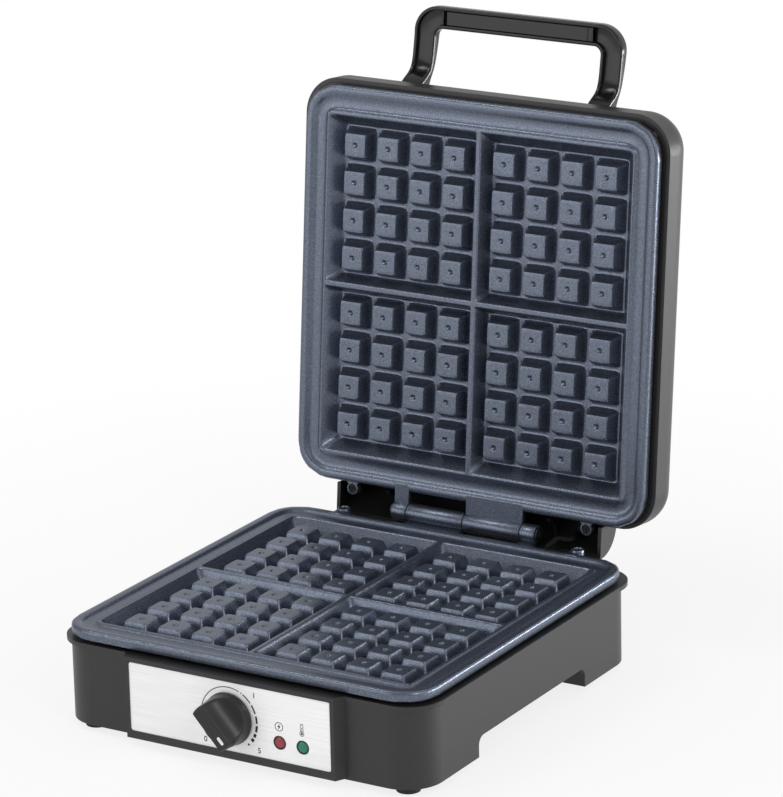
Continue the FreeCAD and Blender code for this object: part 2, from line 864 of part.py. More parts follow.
def make_gland():
    outside = cyl_y(gland_radius + gland_flange, casing_rear,
                    casing_rear + gland_flange_thickness, gland_x, gland_height)
    body = cyl_y(gland_radius, inner_rear, casing_rear, gland_x, gland_height)
    nut = cyl_y(gland_radius + gland_flange, inner_rear - gland_nut_thickness, inner_rear, gland_x,
                gland_height)
    bore = cyl_y(gland_bore, inner_rear - gland_nut_thickness,
                 casing_rear + gland_flange_thickness, gland_x, gland_height)
    return join([outside, body, nut]).cut(bore)


def make_terminal_block():
    body = box(block_x - block_half_width, block_x + block_half_width, block_y - block_half_depth,
               block_y + block_half_depth, cover_top, cover_top + block_rise)
    first = block_x - (terminal_count - 1) * terminal_pitch / 2
    holes = []
    for i in range(terminal_count):
        holes.append(cyl_y(terminal_radius, block_y - block_half_depth, block_y + block_half_depth,
                           first + i * terminal_pitch, cover_top + block_rise / 2))
    return body.cut(join(holes))


def make_base_lead():
    points = [vec(lead_x, lead_y, flange_bottom - ledge_height / 2),
              vec(lead_x, lead_y, lead_riser_top), vec(lead_entry, hinge_y, hinge_z),
              vec(lead_meet_x, hinge_y, hinge_z)]
    return tube(points, (lead_bend, lead_bend), lead_radius)


def make_lid_lead():
    rise = hinge_z + hood_drop + lead_lid_rise
    points = [vec(lead_meet_x + lead_meet_gap, hinge_y, hinge_z),
              vec(lead_turn_x, hinge_y, hinge_z), vec(lead_turn_x, lead_rise_y, rise),
              vec(lead_turn_x, lead_inside, rise)]
    return tube(points, (lead_bend, lead_bend), lead_radius)


def lid_block(inset, z0):
    # The lid's outline with its rounded top edge, as a full block.
    r = lid_round - inset
    slab = round_slab(-lid_half_width + inset, lid_half_width - inset, -lid_front + inset,
                      lid_rear - inset, lid_corner - inset, z0, lid_top - inset)
    edges = [e for e in slab.Edges if e.BoundBox.ZMin > lid_top - inset - 0.01]
    return slab.makeFillet(r, edges)


def hood_quarter(radius, half_width):
    round_bar = cyl_x(radius, -half_width, half_width, hood_centre_y, hood_bottom)
    reach = hood_centre_y + radius
    top = hood_bottom + radius
    low = box(-half_width, half_width, lid_rear, reach, hood_bottom, lid_rim)
    high = box(-half_width, half_width, lid_rear - lid_wall / 2, reach, lid_rim, top)
    return round_bar.common(low.fuse(high))


def make_lid_cover():
    inner = lid_block(lid_wall, lid_rim)
    shell = lid_block(0, lid_rim).cut(inner)
    outer_hood = hood_quarter(hood_radius, ledge_half_width)
    hood_room = hood_quarter(hood_inner, ledge_half_width - hood_wall)
    ribs = []
    bosses = []
    posts = []
    for s in (-1, 1):
        x0 = s * hood_rib_x - hood_rib_width / 2
        rib = hood_quarter(hood_inner + hood_wall / 2, ledge_half_width)
        rib = rib.common(box(x0, x0 + hood_rib_width, lid_rear, hinge_y + hood_radius, hood_bottom,
                             lid_top))
        ribs.append(rib.cut(cyl_x(barrel_radius + hood_rib_clearance, x0, x0 + hood_rib_width,
                                  hinge_y, hinge_z)))
        boss = cyl_z(lug_boss_radius, lid_boss_low, lid_top, s * lug_x, lug_y)
        hood_band = hood_quarter(hood_inner + hood_wall / 2, ledge_half_width)
        bosses.append(boss.common(hood_band))
        posts.append(handle_boss(s))
    for x, y in frame_spots():
        posts.append(cyl_z(frame_post_radius, frame_top, lid_top, x, y).common(
            lid_block(lid_wall / 2, lid_rim)))
    cover = join([shell, outer_hood.cut(hood_room)] + ribs + bosses + posts)
    return cover.cut(join(lid_cover_holes()))


def handle_boss(s):
    boss = cyl_y(handle_boss_radius, -lid_front, -handle_boss_end, s * handle_screw_x(),
                 lid_rim + handle_screw_rise)
    return boss.common(lid_block(lid_wall / 2, lid_rim))


def handle_screw_x():
    return handle_half_width - handle_leg_width / 2


def lid_cover_holes():
    holes = []
    for s in (-1, 1):
        holes.append(cyl_z(screw_hole, lid_boss_low, lid_boss_low + screw_length, s * lug_x,
                           lug_y))
        holes.append(cyl_y(screw_hole, -lid_front, -handle_boss_end, s * handle_screw_x(),
                           lid_rim + handle_screw_rise))
    for x, y in frame_spots():
        holes.append(cyl_z(screw_hole, frame_top, frame_top + screw_length, x, y))
    rise = hinge_z + hood_drop + lead_lid_rise
    holes.append(cyl_y(lead_hole, lid_rear - 2 * lid_wall, lid_rear + lid_wall, lead_turn_x, rise))
    return holes


def frame_spots():
    inset = frame_post_inset - lid_wall
    spots = []
    for sx, sy in corners():
        edge = lid_front if sy < 0 else lid_rear
        spots.append((sx * (lid_half_width - inset), sy * (edge - inset)))
    return spots


def make_lid_frame():
    gap = lid_wall + frame_clearance
    ring = round_slab(-lid_half_width + gap, lid_half_width - gap, -lid_front + gap,
                      lid_rear - gap, lid_corner - gap, lid_rim, frame_top)
    opening = round_slab(-opening_half, opening_half, -opening_half, opening_half, tub_corner,
                         lid_rim, frame_top)
    pads = [cyl_z(pad_radius, 2 * parting - rim_bottom, lid_rim, s * pad_x, -pad_y)
            for s in (-1, 1)]
    holes = [cyl_z(screw_hole, lid_rim, frame_top, x, y) for x, y in frame_spots()]
    return join([ring.cut(opening)] + pads).cut(join(holes))


def handle_curve(pairs, level):
    # A smooth line in the side view through distance and drop pairs.
    line = Part.BSplineCurve()
    line.interpolate([vec(0, -plate_half_depth - reach, lid_rim + level - drop)
                      for reach, drop in pairs])
    return line.toShape()


def handle_side(front_shift, rear_curve, rear_level):
    # The side outline swept across the lid's width.
    front = handle_curve(handle_front_curve, handle_front_level + front_shift)
    rear = handle_curve(rear_curve, rear_level)
    tip = -handle_reach
    front_z = lid_rim + handle_front_level + front_shift
    rear_z = lid_rim + rear_level
    corner_points = [front.valueAt(front.LastParameter), vec(0, tip, front_z), vec(0, tip, rear_z),
                     rear.valueAt(rear.FirstParameter)]
    closing = Part.makePolygon(corner_points).Edges
    closing.append(Part.makeLine(rear.valueAt(rear.LastParameter),
                                 front.valueAt(front.FirstParameter)))
    outline = Part.Wire(Part.__sortEdges__([front, rear] + closing))
    side = Part.Face(outline).extrude(vec(2 * lid_half_width, 0, 0))
    side.translate(vec(-lid_half_width, 0, 0))
    return side


def handle_arch(rim):
    # The arch seen from above, with a rim taken off all round.
    inner_half = handle_half_width - handle_leg_width
    outer = round_slab(-handle_half_width + rim, handle_half_width - rim, -handle_reach + rim,
                       handle_reach, handle_corner - rim, lid_rim, lid_rim + handle_rear_level)
    gap = round_slab(-inner_half - rim, inner_half + rim, -handle_reach + handle_bar_width - rim,
                     handle_reach, handle_inner_corner + rim, lid_rim, lid_rim + handle_rear_level)
    return outer.cut(gap)


def make_insert():
    low = lid_rim + handle_front_level + insert_inset
    rim = handle_rim + insert_margin
    return box(-insert_left, insert_right, -handle_reach + rim,
               -handle_reach + handle_bar_width - rim, low,
               lid_rim + handle_front_level + handle_channel_depth)


def make_handle():
    body = handle_arch(0).common(handle_side(0, handle_rear_curve, handle_rear_level))
    floor_curve = [(reach, drop) for reach, drop in reversed(handle_front_curve)]
    channel = handle_arch(handle_rim).common(
        handle_side(-handle_band, floor_curve, handle_front_level + handle_channel_depth))
    channel = channel.common(box(-handle_half_width, handle_half_width, -handle_reach,
                                 -plate_half_depth - handle_channel_start, lid_rim,
                                 lid_rim + handle_rear_level))
    holes = [cyl_y(screw_radius, -handle_boss_end - handle_screw_length - handle_screw_room,
                   -handle_boss_end, s * handle_screw_x(), lid_rim + handle_screw_rise)
             for s in (-1, 1)]
    return body.cut(channel).cut(lid_block(0, lid_rim)).cut(join(holes))


def make_handle_screws():
    return Part.makeCompound([place_screw(handle_screw_length, s * handle_screw_x(),
                                          -handle_boss_end, lid_rim + handle_screw_rise,
                                          vec(0, 1, 0)) for s in (-1, 1)])


def make_plate_screws(lug_top):
    seat = lug_top - lug_recess_depth
    return Part.makeCompound([place_screw(screw_length, s * lug_x, lug_y, seat, vec(0, 0, 1))
                              for s in (-1, 1)])


def make_hinge_pin():
    reach = barrel_end + pin_overhang
    return cyl_x(pin_radius, -reach, reach, hinge_y, hinge_z)


def make_pin_clips():
    rings = []
    for s in (-1, 1):
        x0, x1 = sorted((s * barrel_end, s * (barrel_end + clip_thickness)))
        ring = cyl_x(clip_radius, x0, x1, hinge_y, hinge_z)
        rings.append(ring.cut(cyl_x(pin_radius, x0, x1, hinge_y, hinge_z)))
    return Part.makeCompound(rings)


def make_fuse():
    z = tub_bottom - fuse_radius - heater_gap
    return cyl_x(fuse_radius, -fuse_half_length, fuse_half_length, -fuse_y, z)


nodes = {}
plate = make_plate()
nodes["base_casing"] = make_casing()
nodes["bottom_cover"] = make_bottom_cover()
nodes["bottom_cover_screws"] = Part.makeCompound(
    [place_screw(screw_length, x, y, cover_bottom, vec(0, 0, -1)) for x, y in cover_screw_spots()])
for name, spot in foot_spots().items():
    nodes[name] = make_foot(*spot)
nodes["lower_plate"] = add_barrels(add_lugs(plate, lower_lug_top), knuckle_spans(-1), pin_fit,
                                   hinge_z - barrel_radius)
nodes["lower_plate_screws"] = make_plate_screws(lower_lug_top)
nodes["lower_heater"] = make_heater()
nodes["lower_heater_clamps"] = make_clamps()
nodes["lower_heater_screws"] = make_clamp_screws()
nodes["lower_heat_shield"] = make_shield()
nodes["thermal_fuse"] = make_fuse()
nodes["control_fascia"] = make_fascia()
nodes["fascia_plate"] = make_steel_plate()
nodes["fascia_screws"] = Part.makeCompound(
    [place_screw(casing_wall + fascia_screw_reach, s * fascia_screw_x, -inner_front, knob_height,
                 vec(0, 1, 0)) for s in (-1, 1)])
nodes["power_lamp_lens"] = make_lens(power_lamp_x)
nodes["ready_lamp_lens"] = make_lens(ready_lamp_x)
nodes["lamp_holders"] = make_lamp_holders()
nodes["thermostat_bracket"] = make_bracket()
nodes["thermostat_body"] = make_thermostat()
nodes["thermostat_nut"] = make_nut()
nodes["terminal_block"] = make_terminal_block()
nodes["cord_gland"] = make_gland()
nodes["hinge_pin"] = make_hinge_pin()
nodes["hinge_pin_clips"] = make_pin_clips()
nodes["base_lead"] = make_base_lead()
nodes["control_knob"] = make_knob()
nodes["knob_pointer"] = make_pointer()
nodes["knob_clip"] = make_knob_clip()
nodes["thermostat_shaft"] = make_shaft()

# Lid pieces, drawn closed
lid = {}
mirrored_lug_top = 2 * parting - upper_lug_face
lid["upper_plate"] = add_barrels(mirror_up(add_lugs(plate, mirrored_lug_top)), knuckle_spans(1),
                                 barrel_running, parting + parting_clearance)
lid["upper_plate_screws"] = mirror_up(make_plate_screws(mirrored_lug_top))
lid["upper_heater"] = mirror_up(make_heater())
lid["upper_heater_clamps"] = mirror_up(make_clamps())
lid["upper_heater_screws"] = mirror_up(make_clamp_screws())
lid["upper_heat_shield"] = mirror_up(make_shield())
lid["lid_cover"] = make_lid_cover()
lid["lid_frame"] = make_lid_frame()
lid["lid_frame_screws"] = Part.makeCompound(
    [place_screw(screw_length, x, y, lid_rim, vec(0, 0, -1)) for x, y in frame_spots()])
lid["lid_lead"] = make_lid_lead()
lid["handle_arch"] = make_handle()
lid["handle_insert"] = make_insert()
lid["handle_screws"] = make_handle_screws()
for name, shape in lid.items():
    nodes[name] = open_lid(shape)

os.makedirs("parts", exist_ok=True)
for name, shape in nodes.items():
    shape.translate(vec(0, -origin_y, 0))
    shape.exportStep("parts/%s.step" % name)
    print("%-22s solids %2d  valid %s  volume %10.1f" % (
        name, len(shape.Solids), shape.isValid(), shape.Volume))
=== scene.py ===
import bpy
import json
import math
import numpy as np
from mathutils import Matrix


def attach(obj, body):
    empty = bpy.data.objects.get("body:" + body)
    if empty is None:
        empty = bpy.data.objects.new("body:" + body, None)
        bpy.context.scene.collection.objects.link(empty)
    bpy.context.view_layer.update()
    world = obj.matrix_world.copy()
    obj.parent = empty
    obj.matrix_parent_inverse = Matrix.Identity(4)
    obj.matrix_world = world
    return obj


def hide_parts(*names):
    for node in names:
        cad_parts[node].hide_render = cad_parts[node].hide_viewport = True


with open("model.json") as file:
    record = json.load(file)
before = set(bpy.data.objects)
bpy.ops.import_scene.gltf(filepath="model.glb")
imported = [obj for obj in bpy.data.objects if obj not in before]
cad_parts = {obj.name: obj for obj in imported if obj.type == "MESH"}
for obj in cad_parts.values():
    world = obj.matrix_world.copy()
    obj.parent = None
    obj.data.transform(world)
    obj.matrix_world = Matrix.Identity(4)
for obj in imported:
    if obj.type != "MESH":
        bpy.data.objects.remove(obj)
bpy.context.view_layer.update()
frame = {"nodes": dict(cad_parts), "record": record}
print("frame loaded", len(frame["nodes"]))

# Sizes are in millimetres, with Y from the middle of the plates.
mm = 0.001
originY = 32.2  # how far the frame's origin lies behind the middle of the plates
hinge = {"y": 129.0, "z": 61.3, "openAngle": 95.7, "barrelRadius": 5.6, "bore": 2.6, "split": 38.0,
         "end": 48.0, "gap": 0.15, "lowerArm": 1.8, "upperArm": 3.6, "parting": 59.5,
         "armGap": 0.15, "armEdge": 0.4, "barrelEdge": [(0.0, 0.5), (0.15, 0.15), (0.5, 0.0)],
         "barrelSteps": 40}
panel = {"faceY": -123.1, "markLift": 0.04}


# Mesh helpers

def meshPiece(name, points, faces, smoothAngle=40.0):
    # An object from points in millimetres and faces, smooth up to an angle between faces.
    mesh = bpy.data.meshes.new(name)
    placed = (np.asarray(points, float) - (0.0, originY, 0.0)) * mm
    mesh.from_pydata(placed.tolist(), [], [tuple(f) for f in faces])
    mesh.validate()
    mesh.shade_smooth()
    mesh.set_sharp_from_angle(angle=math.radians(smoothAngle))
    piece = bpy.data.objects.new(name, mesh)
    bpy.context.scene.collection.objects.link(piece)
    return piece


def gridFaces(rows, columns, closed=False):
    # Quads between neighbouring rows and columns of a grid; a closed row's last point joins its first.
    row, column = np.meshgrid(np.arange(rows - 1), np.arange(columns if closed else columns - 1),
                              indexing="ij")
    start = row * columns
    after = (column + 1) % columns
    quads = np.stack([start + column, start + after, start + columns + after,
                      start + columns + column], -1)
    return quads.reshape(-1, 4)


def ringFaces(first, second):
    # Quads between two closed rows with the same number of points.
    return np.stack([first, np.roll(first, -1), np.roll(second, -1), second], -1).tolist()


def joinParts(parts):
    # One list of points and one of faces; each part's faces count on from the points before it.
    points, faces, count = [], [], 0
    for partPoints, partFaces in parts:
        points.append(np.asarray(partPoints, float))
        faces.extend([[int(k) + count for k in f] for f in partFaces])
        count += len(partPoints)
    return np.concatenate(points), faces


def softMax(a, b, width):
    # The larger of two values, rounded where they are within a width of each other.
    d = np.clip(width - np.abs(a - b), 0, None)
    return np.maximum(a, b) + d * d / (4 * width)


def softMin(a, b, width):
    # The smaller of two values, rounded in the same way: softMax with all signs turned.
    return -softMax(-a, -b, width)


def openLid(points):
    # Turns points drawn with the lid closed about the hinge axis to the open pose.
    turned = np.array(points, float)
    c = math.cos(math.radians(-hinge["openAngle"]))
    s = math.sin(math.radians(-hinge["openAngle"]))
    y = turned[:, 1] - hinge["y"]
    z = turned[:, 2] - hinge["z"]
    turned[:, 1] = hinge["y"] + y * c - z * s
    turned[:, 2] = hinge["z"] + y * s + z * c
    return turned


def mirrorUp(part):
    # A lower part turned into an upper one by a mirror at the parting plane.
    points, faces = part
    flipped = np.array(points, float)
    flipped[:, 2] = 2 * hinge["parting"] - flipped[:, 2]
    return flipped, [list(f)[::-1] for f in faces]


def ontoPanel(points, x, z, angle=0.0):
    # Points drawn flat with their height as the third value, turned and set on the front panel.
    p = np.asarray(points, float)
    c = math.cos(math.radians(angle))
    s = math.sin(math.radians(angle))
    return np.column_stack([x + p[:, 0] * c - p[:, 1] * s, panel["faceY"] - p[:, 2],
                            z + p[:, 0] * s + p[:, 1] * c])


def turnedX(profile, centre, steps):
    # A lathe about the X direction: each profile row is a place along X and a radius.
    rows = np.asarray(profile, float)
    t = np.linspace(0, 2 * math.pi, steps, endpoint=False)
    x = np.repeat(rows[:, :1], steps, 1)
    y = centre[0] + rows[:, 1:] * np.cos(t)
    z = centre[1] + rows[:, 1:] * np.sin(t)
    return np.stack([x, y, z], -1).reshape(-1, 3), gridFaces(len(rows), steps, True)


def turnedZ(profile, centre, steps):
    # A lathe about the Z direction: each profile row is a radius and a height.
    rows = np.asarray(profile, float)
    t = np.linspace(0, 2 * math.pi, steps, endpoint=False)
    x = centre[0] + rows[:, :1] * np.cos(t)
    y = centre[1] + rows[:, :1] * np.sin(t)
    z = np.repeat(rows[:, 1:], steps, 1)
    return np.stack([x, y, z], -1).reshape(-1, 3), gridFaces(len(rows), steps, True)


def softBox(low, high, edge):
    # A box with its twelve edges cut at 45 degrees, as a row of four eight-point loops along X.
    low, high = np.asarray(low, float), np.asarray(high, float)
    loops = []
    for x, inset in ((low[0], edge), (low[0] + edge, 0), (high[0] - edge, 0), (high[0], edge)):
        y0, z0 = low[1:] + inset
        y1, z1 = high[1:] - inset
        loops.append([(x, y0 + edge, z0), (x, y1 - edge, z0), (x, y1, z0 + edge),
                      (x, y1, z1 - edge), (x, y1 - edge, z1), (x, y0 + edge, z1),
                      (x, y0, z1 - edge), (x, y0, z0 + edge)])
    count, width = len(loops), len(loops[0])
    faces = gridFaces(count, width, True).tolist()
    faces += [list(range(width))[::-1], list(range((count - 1) * width, count * width))]
    return np.array(loops).reshape(-1, 3), faces


def flatShape(outline, low, high):
    # A flat shape with straight sides from an outline and two heights.
    flat = np.asarray(outline, float)
    n = len(flat)
    points = np.concatenate([np.column_stack([flat, np.full(n, low)]),
                             np.column_stack([flat, np.full(n, high)])])
    faces = [list(range(n))[::-1], list(range(n, 2 * n))]
    faces += ringFaces(np.arange(n), np.arange(n, 2 * n))
    return points, faces


# Shader groups

def setInputs(node, **values):
    # Starting values for a node's sockets; fromMin stands for the socket From Min, and so on.
    for name, value in values.items():
        label = "".join(" " + c if c.isupper() else c for c in name)
        node.inputs[label[0].upper() + label[1:]].default_value = value
    return node


def nodeGroup(name, inputs, outputs):
    # An empty shader group with its sockets: name, kind and starting value.
    group = bpy.data.node_groups.new(name, "ShaderNodeTree")
    for label, kind, value in inputs:
        socket = group.interface.new_socket(label, in_out="INPUT", socket_type=kind)
        if value is not None:
            socket.default_value = value
    for label, kind in outputs:
        group.interface.new_socket(label, in_out="OUTPUT", socket_type=kind)
    return group, group.nodes.new("NodeGroupInput"), group.nodes.new("NodeGroupOutput")


def fineGrain():
    # Fine moulded or cast texture: a noise as a bump, and the same noise as a speckle mask.
    group, start, end = nodeGroup(
        "fineGrain", [("Scale", "NodeSocketFloat", 1500.0), ("Strength", "NodeSocketFloat", 0.2)],
        [("Normal", "NodeSocketVector"), ("Speckle", "NodeSocketFloat")])
    coords = group.nodes.new("ShaderNodeTexCoord")
    noise = setInputs(group.nodes.new("ShaderNodeTexNoise"), detail=3.0)
    bump = setInputs(group.nodes.new("ShaderNodeBump"), distance=0.0002)
    ramp = setInputs(group.nodes.new("ShaderNodeMapRange"), fromMin=0.35, fromMax=0.7)
    link = group.links.new
    link(coords.outputs["Object"], noise.inputs["Vector"])
    link(start.outputs["Scale"], noise.inputs["Scale"])
    link(start.outputs["Strength"], bump.inputs["Strength"])
    link(noise.outputs["Fac"], bump.inputs["Height"])
    link(noise.outputs["Fac"], ramp.inputs["Value"])
    link(bump.outputs["Normal"], end.inputs["Normal"])
    link(ramp.outputs["Result"], end.inputs["Speckle"])
    return group


def brushLines():
    # Fine lines along X: a noise stretched along X as a tone and a bump.
    group, start, end = nodeGroup(
        "brushLines", [("Strength", "NodeSocketFloat", 0.1)],
        [("Normal", "NodeSocketVector"), ("Tone", "NodeSocketFloat")])
    coords = group.nodes.new("ShaderNodeTexCoord")
    stretch = setInputs(group.nodes.new("ShaderNodeMapping"), scale=(25.0, 3200.0, 3200.0))
    noise = setInputs(group.nodes.new("ShaderNodeTexNoise"), scale=1.0, detail=4.0)
    bump = setInputs(group.nodes.new("ShaderNodeBump"), distance=0.0001)
    link = group.links.new
    link(coords.outputs["Object"], stretch.inputs["Vector"])
    link(stretch.outputs["Vector"], noise.inputs["Vector"])
    link(start.outputs["Strength"], bump.inputs["Strength"])
    link(noise.outputs["Fac"], bump.inputs["Height"])
    link(bump.outputs["Normal"], end.inputs["Normal"])
    link(noise.outputs["Fac"], end.inputs["Tone"])
    return group


def softTone():
    # Slow changes of a colour: a noise scales it between a dark and a light share.
    group, start, end = nodeGroup(
        "softTone", [("Colour", "NodeSocketColor", None), ("Dark", "NodeSocketFloat", 0.85),
                     ("Light", "NodeSocketFloat", 1.1), ("Scale", "NodeSocketFloat", 30.0)],
        [("Colour", "NodeSocketColor")])
    coords = group.nodes.new("ShaderNodeTexCoord")
    noise = setInputs(group.nodes.new("ShaderNodeTexNoise"), detail=2.0)
    level = setInputs(group.nodes.new("ShaderNodeMapRange"), fromMin=0.3, fromMax=0.7)
    scaled = group.nodes.new("ShaderNodeVectorMath")
    scaled.operation = "SCALE"
    link = group.links.new
    link(coords.outputs["Object"], noise.inputs["Vector"])
    link(start.outputs["Scale"], noise.inputs["Scale"])
    link(noise.outputs["Fac"], level.inputs["Value"])
    link(start.outputs["Dark"], level.inputs["To Min"])
    link(start.outputs["Light"], level.inputs["To Max"])
    link(start.outputs["Colour"], scaled.inputs[0])
    link(level.outputs["Result"], scaled.inputs["Scale"])
    link(scaled.outputs["Vector"], end.inputs["Colour"])
    return group


grainGroup = fineGrain()
brushGroup = brushLines()
toneGroup = softTone()
brushed = {"streakDark": 0.9, "streakLight": 1.04, "spread": 0.08}  # colour shares, roughness swing


def finish(name, colour, roughness, metallic=0.0, grain=(1500.0, 0.2), tone=(0.88, 1.1, 30.0),
           speckle=0.0, brush=0.0, bend=1.5):
    # A Principled finish fed by the shared groups: grain is a scale and a strength, tone a dark
    # share, a light share and a scale. A brushed finish has lines in its colour and roughness,
    # a speckled one has its grain in its roughness.
    material = bpy.data.materials.new(name)
    material.use_nodes = True
    tree = material.node_tree
    shader = tree.nodes["Principled BSDF"]
    setInputs(shader, roughness=roughness, metallic=metallic)
    shader.inputs["IOR"].default_value = bend
    slow = tree.nodes.new("ShaderNodeGroup")
    slow.node_tree = toneGroup
    setInputs(slow, colour=(*colour, 1.0), dark=tone[0], light=tone[1], scale=tone[2])
    fine = tree.nodes.new("ShaderNodeGroup")
    link = tree.links.new
    if brush:
        fine.node_tree = brushGroup
        setInputs(fine, strength=brush)
        streak = setInputs(tree.nodes.new("ShaderNodeMapRange"), fromMin=0.3, fromMax=0.7,
                           toMin=brushed["streakDark"], toMax=brushed["streakLight"])
        streaked = tree.nodes.new("ShaderNodeVectorMath")
        streaked.operation = "SCALE"
        link(fine.outputs["Tone"], streak.inputs["Value"])
        link(slow.outputs["Colour"], streaked.inputs[0])
        link(streak.outputs["Result"], streaked.inputs["Scale"])
        link(streaked.outputs["Vector"], shader.inputs["Base Color"])
    else:
        fine.node_tree = grainGroup
        setInputs(fine, scale=grain[0], strength=grain[1])
        link(slow.outputs["Colour"], shader.inputs["Base Color"])
    link(fine.outputs["Normal"], shader.inputs["Normal"])
    if brush or speckle:
        swing = speckle or brushed["spread"]
        spread = setInputs(tree.nodes.new("ShaderNodeMapRange"), toMin=roughness - swing,
                           toMax=roughness + swing)
        link(fine.outputs["Tone" if brush else "Speckle"], spread.inputs["Value"])
        link(spread.outputs["Result"], shader.inputs["Roughness"])
    return material


# Finishes, one for each material slot of the record
materials = {
    "casing_plastic": finish("casingPlastic", (0.012, 0.0118, 0.012), 0.4, grain=(2600.0, 0.2),
                             tone=(0.8, 1.2, 900.0), bend=1.56),
    "handle_plastic": finish("handlePlastic", (0.0085, 0.008, 0.009), 0.2, grain=(500.0, 0.03),
                             bend=1.42),
    "knob_plastic": finish("knobPlastic", (0.007, 0.007, 0.008), 0.33, grain=(2600.0, 0.1)),
    "plate_coating": finish("plateCoating", (0.133, 0.154, 0.2), 0.31, metallic=0.85,
                            grain=(1900.0, 0.28), tone=(0.66, 1.34, 1500.0), speckle=0.08),
    "panel_steel": finish("panelSteel", (0.97, 0.97, 0.98), 0.36, metallic=0.2, brush=0.4,
                          tone=(0.97, 1.03, 12.0)),
    "steel": finish("plainSteel", (0.5, 0.5, 0.51), 0.35, metallic=0.9, grain=(1800.0, 0.1)),
    "black_steel": finish("blackSteel", (0.012, 0.012, 0.013), 0.4, metallic=0.4,
                          grain=(1800.0, 0.15)),
    "heater_sheath": finish("heaterSheath", (0.3, 0.29, 0.27), 0.5, metallic=0.7,
                            grain=(1200.0, 0.2)),
    "shield_sheet": finish("shieldSheet", (0.6, 0.61, 0.62), 0.4, metallic=0.8,
                           grain=(900.0, 0.1)),
    "rubber_foot": finish("rubberFoot", (0.022, 0.022, 0.022), 0.75, grain=(1600.0, 0.3)),
    "red_lens": finish("redLens", (0.3, 0.04, 0.05), 0.12, grain=(900.0, 0.08)),
    "green_lens": finish("greenLens", (0.012, 0.2, 0.13), 0.12, grain=(900.0, 0.08)),
    "white_mark": finish("whiteMark", (0.8, 0.8, 0.8), 0.45, grain=(2000.0, 0.05)),
    "insulator": finish("insulator", (0.68, 0.64, 0.56), 0.6, grain=(900.0, 0.2)),
    "lead_sleeve": finish("leadSleeve", (0.003, 0.003, 0.003), 0.6, grain=(2500.0, 0.3),
                          bend=1.25),
}
for row in frame["record"]["subparts"]:
    mesh = frame["nodes"][row["node"]].data
    mesh.materials.clear()
    mesh.materials.append(materials[row["material_slot"]])

# The inside of the lid's hinge hood gets painted shade: a near-black, dull finish on the faces near
# the hood's axis.
hood = {"y": 119.0, "z": 62.0, "inner": 16.0, "halfWidth": 87.0}
# Painted shade: this near-black finish stands in for the shade that falls inside the hood.
paintedShade = finish("hoodPaintedShade", (0.004, 0.004, 0.004), 0.8, grain=(2600.0, 0.2), bend=1.25)
coverMesh = frame["nodes"]["lid_cover"].data
coverMesh.materials.append(paintedShade)
centres = np.zeros(len(coverMesh.polygons) * 3)
coverMesh.polygons.foreach_get("center", centres)
centres = centres.reshape(-1, 3) / mm + (0.0, originY, 0.0)
axis = openLid([(0.0, hood["y"], hood["z"])])[0]
inside = np.hypot(centres[:, 1] - axis[1], centres[:, 2] - axis[2]) < hood["inner"]
inside &= np.abs(centres[:, 0]) < hood["halfWidth"]
# Faces inside the hood take the painted shade finish; all others keep the casing plastic.
coverMesh.polygons.foreach_set("material_index", inside.astype(np.int32))
print("finishes", len(materials), "paintedShade", int(inside.sum()))


def place(piece, body, slot, *nodes):
    # Gives a new piece its finish, the body it moves with and the nodes it stands for.
    piece.data.materials.clear()
    piece.data.materials.append(materials[slot])
    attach(piece, body)
    if nodes:
        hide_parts(*nodes)
    return piece


# Waffle plates

plate = {"halfWidth": 115.5, "halfDepth": 116.7, "corner": 20.0, "rimTop": 59.35,
         "landDrop": 0.75, "floorDrop": 10.35, "tubDrop": 13.35, "outerFloor": 93.5,
         "outerEdge": 99.7, "innerFloor": 5.4, "innerEdge": 1.4, "innerCorner": 2.0,
         "outerCorner": 5.0, "wallJoin": 2.0, "floorEdge": 0.9, "landEdge": 0.7, "root": 4.5,
         # outline of the rim from the land outwards and round to the tub: inset and drop
         "rimProfile": [(14.2, 0.95), (13.6, 1.5), (12.6, 1.95), (10.6, 2.1), (8.6, 2.1),
                        (7.4, 1.95), (6.5, 1.55), (5.8, 1.0), (5.1, 0.5), (4.4, 0.18), (3.6, 0.03),
                        (2.8, 0.0), (1.9, 0.02), (1.3, 0.1), (0.8, 0.3), (0.4, 0.65), (0.12, 1.2),
                        (0.0, 1.9), (0.0, 5.0), (0.12, 5.4), (0.5, 5.6), (4.0, 5.6),
                        (12.0, 5.6), (13.0, 6.2), (14.0, 12.35), (15.0, 13.35)],
         # grid lines beside the middle wall, beside each block's middle and at the outer wall
         "middleLines": [0.0, 0.7, 1.1, 1.4, 1.8, 3.4, 5.0, 5.4, 5.9],
         "blockLines": [4.6, 6.25, 6.6, 6.95, 7.6, 8.35, 9.1, 9.6, 10.1],
         "outerLines": [92.9, 93.3, 93.7, 94.3, 96.4, 98.6, 99.2, 99.55, 99.8, 100.1, 100.6],
         "lastBlockLine": 92.6, "leastStep": 0.16}
block = {"count": 4, "first": 16.3, "pitch": 22.1, "height": 8.5, "topHalf": 6.7, "baseHalf": 9.7,
         "topCorner": 0.9, "cornerGain": 0.75, "topEdge": 0.6, "footEdge": 0.7,
         # the dish sits in a square of grid lines; its rings are a radius and a depth
         "dishStep": 0.68, "dishReach": 3,
         "dish": [(1.8, 0.0), (1.6, 0.12), (1.3, 0.46), (0.85, 0.98), (0.4, 1.4), (0.12, 1.52)]}
lug = {"x": 78.2, "y": 121.0, "radius": 3.8, "top": 60.4, "height": 4.8, "rimHeight": 5.6,
       "bore": 1.6, "recessRadius": 2.7, "recessDepth": 2.2, "rootEdge": 0.3, "steps": 32,
       # edges of the tube at its foot, its top and its recess: an inset and a step in height
       "footEdge": [(0.4, 0.0), (0.0, 0.4)], "topEdge": [(0.0, 0.5), (0.2, 0.12), (0.5, 0.0)],
       "recessEdge": [(0.2, 0.0), (0.0, 0.3)]}


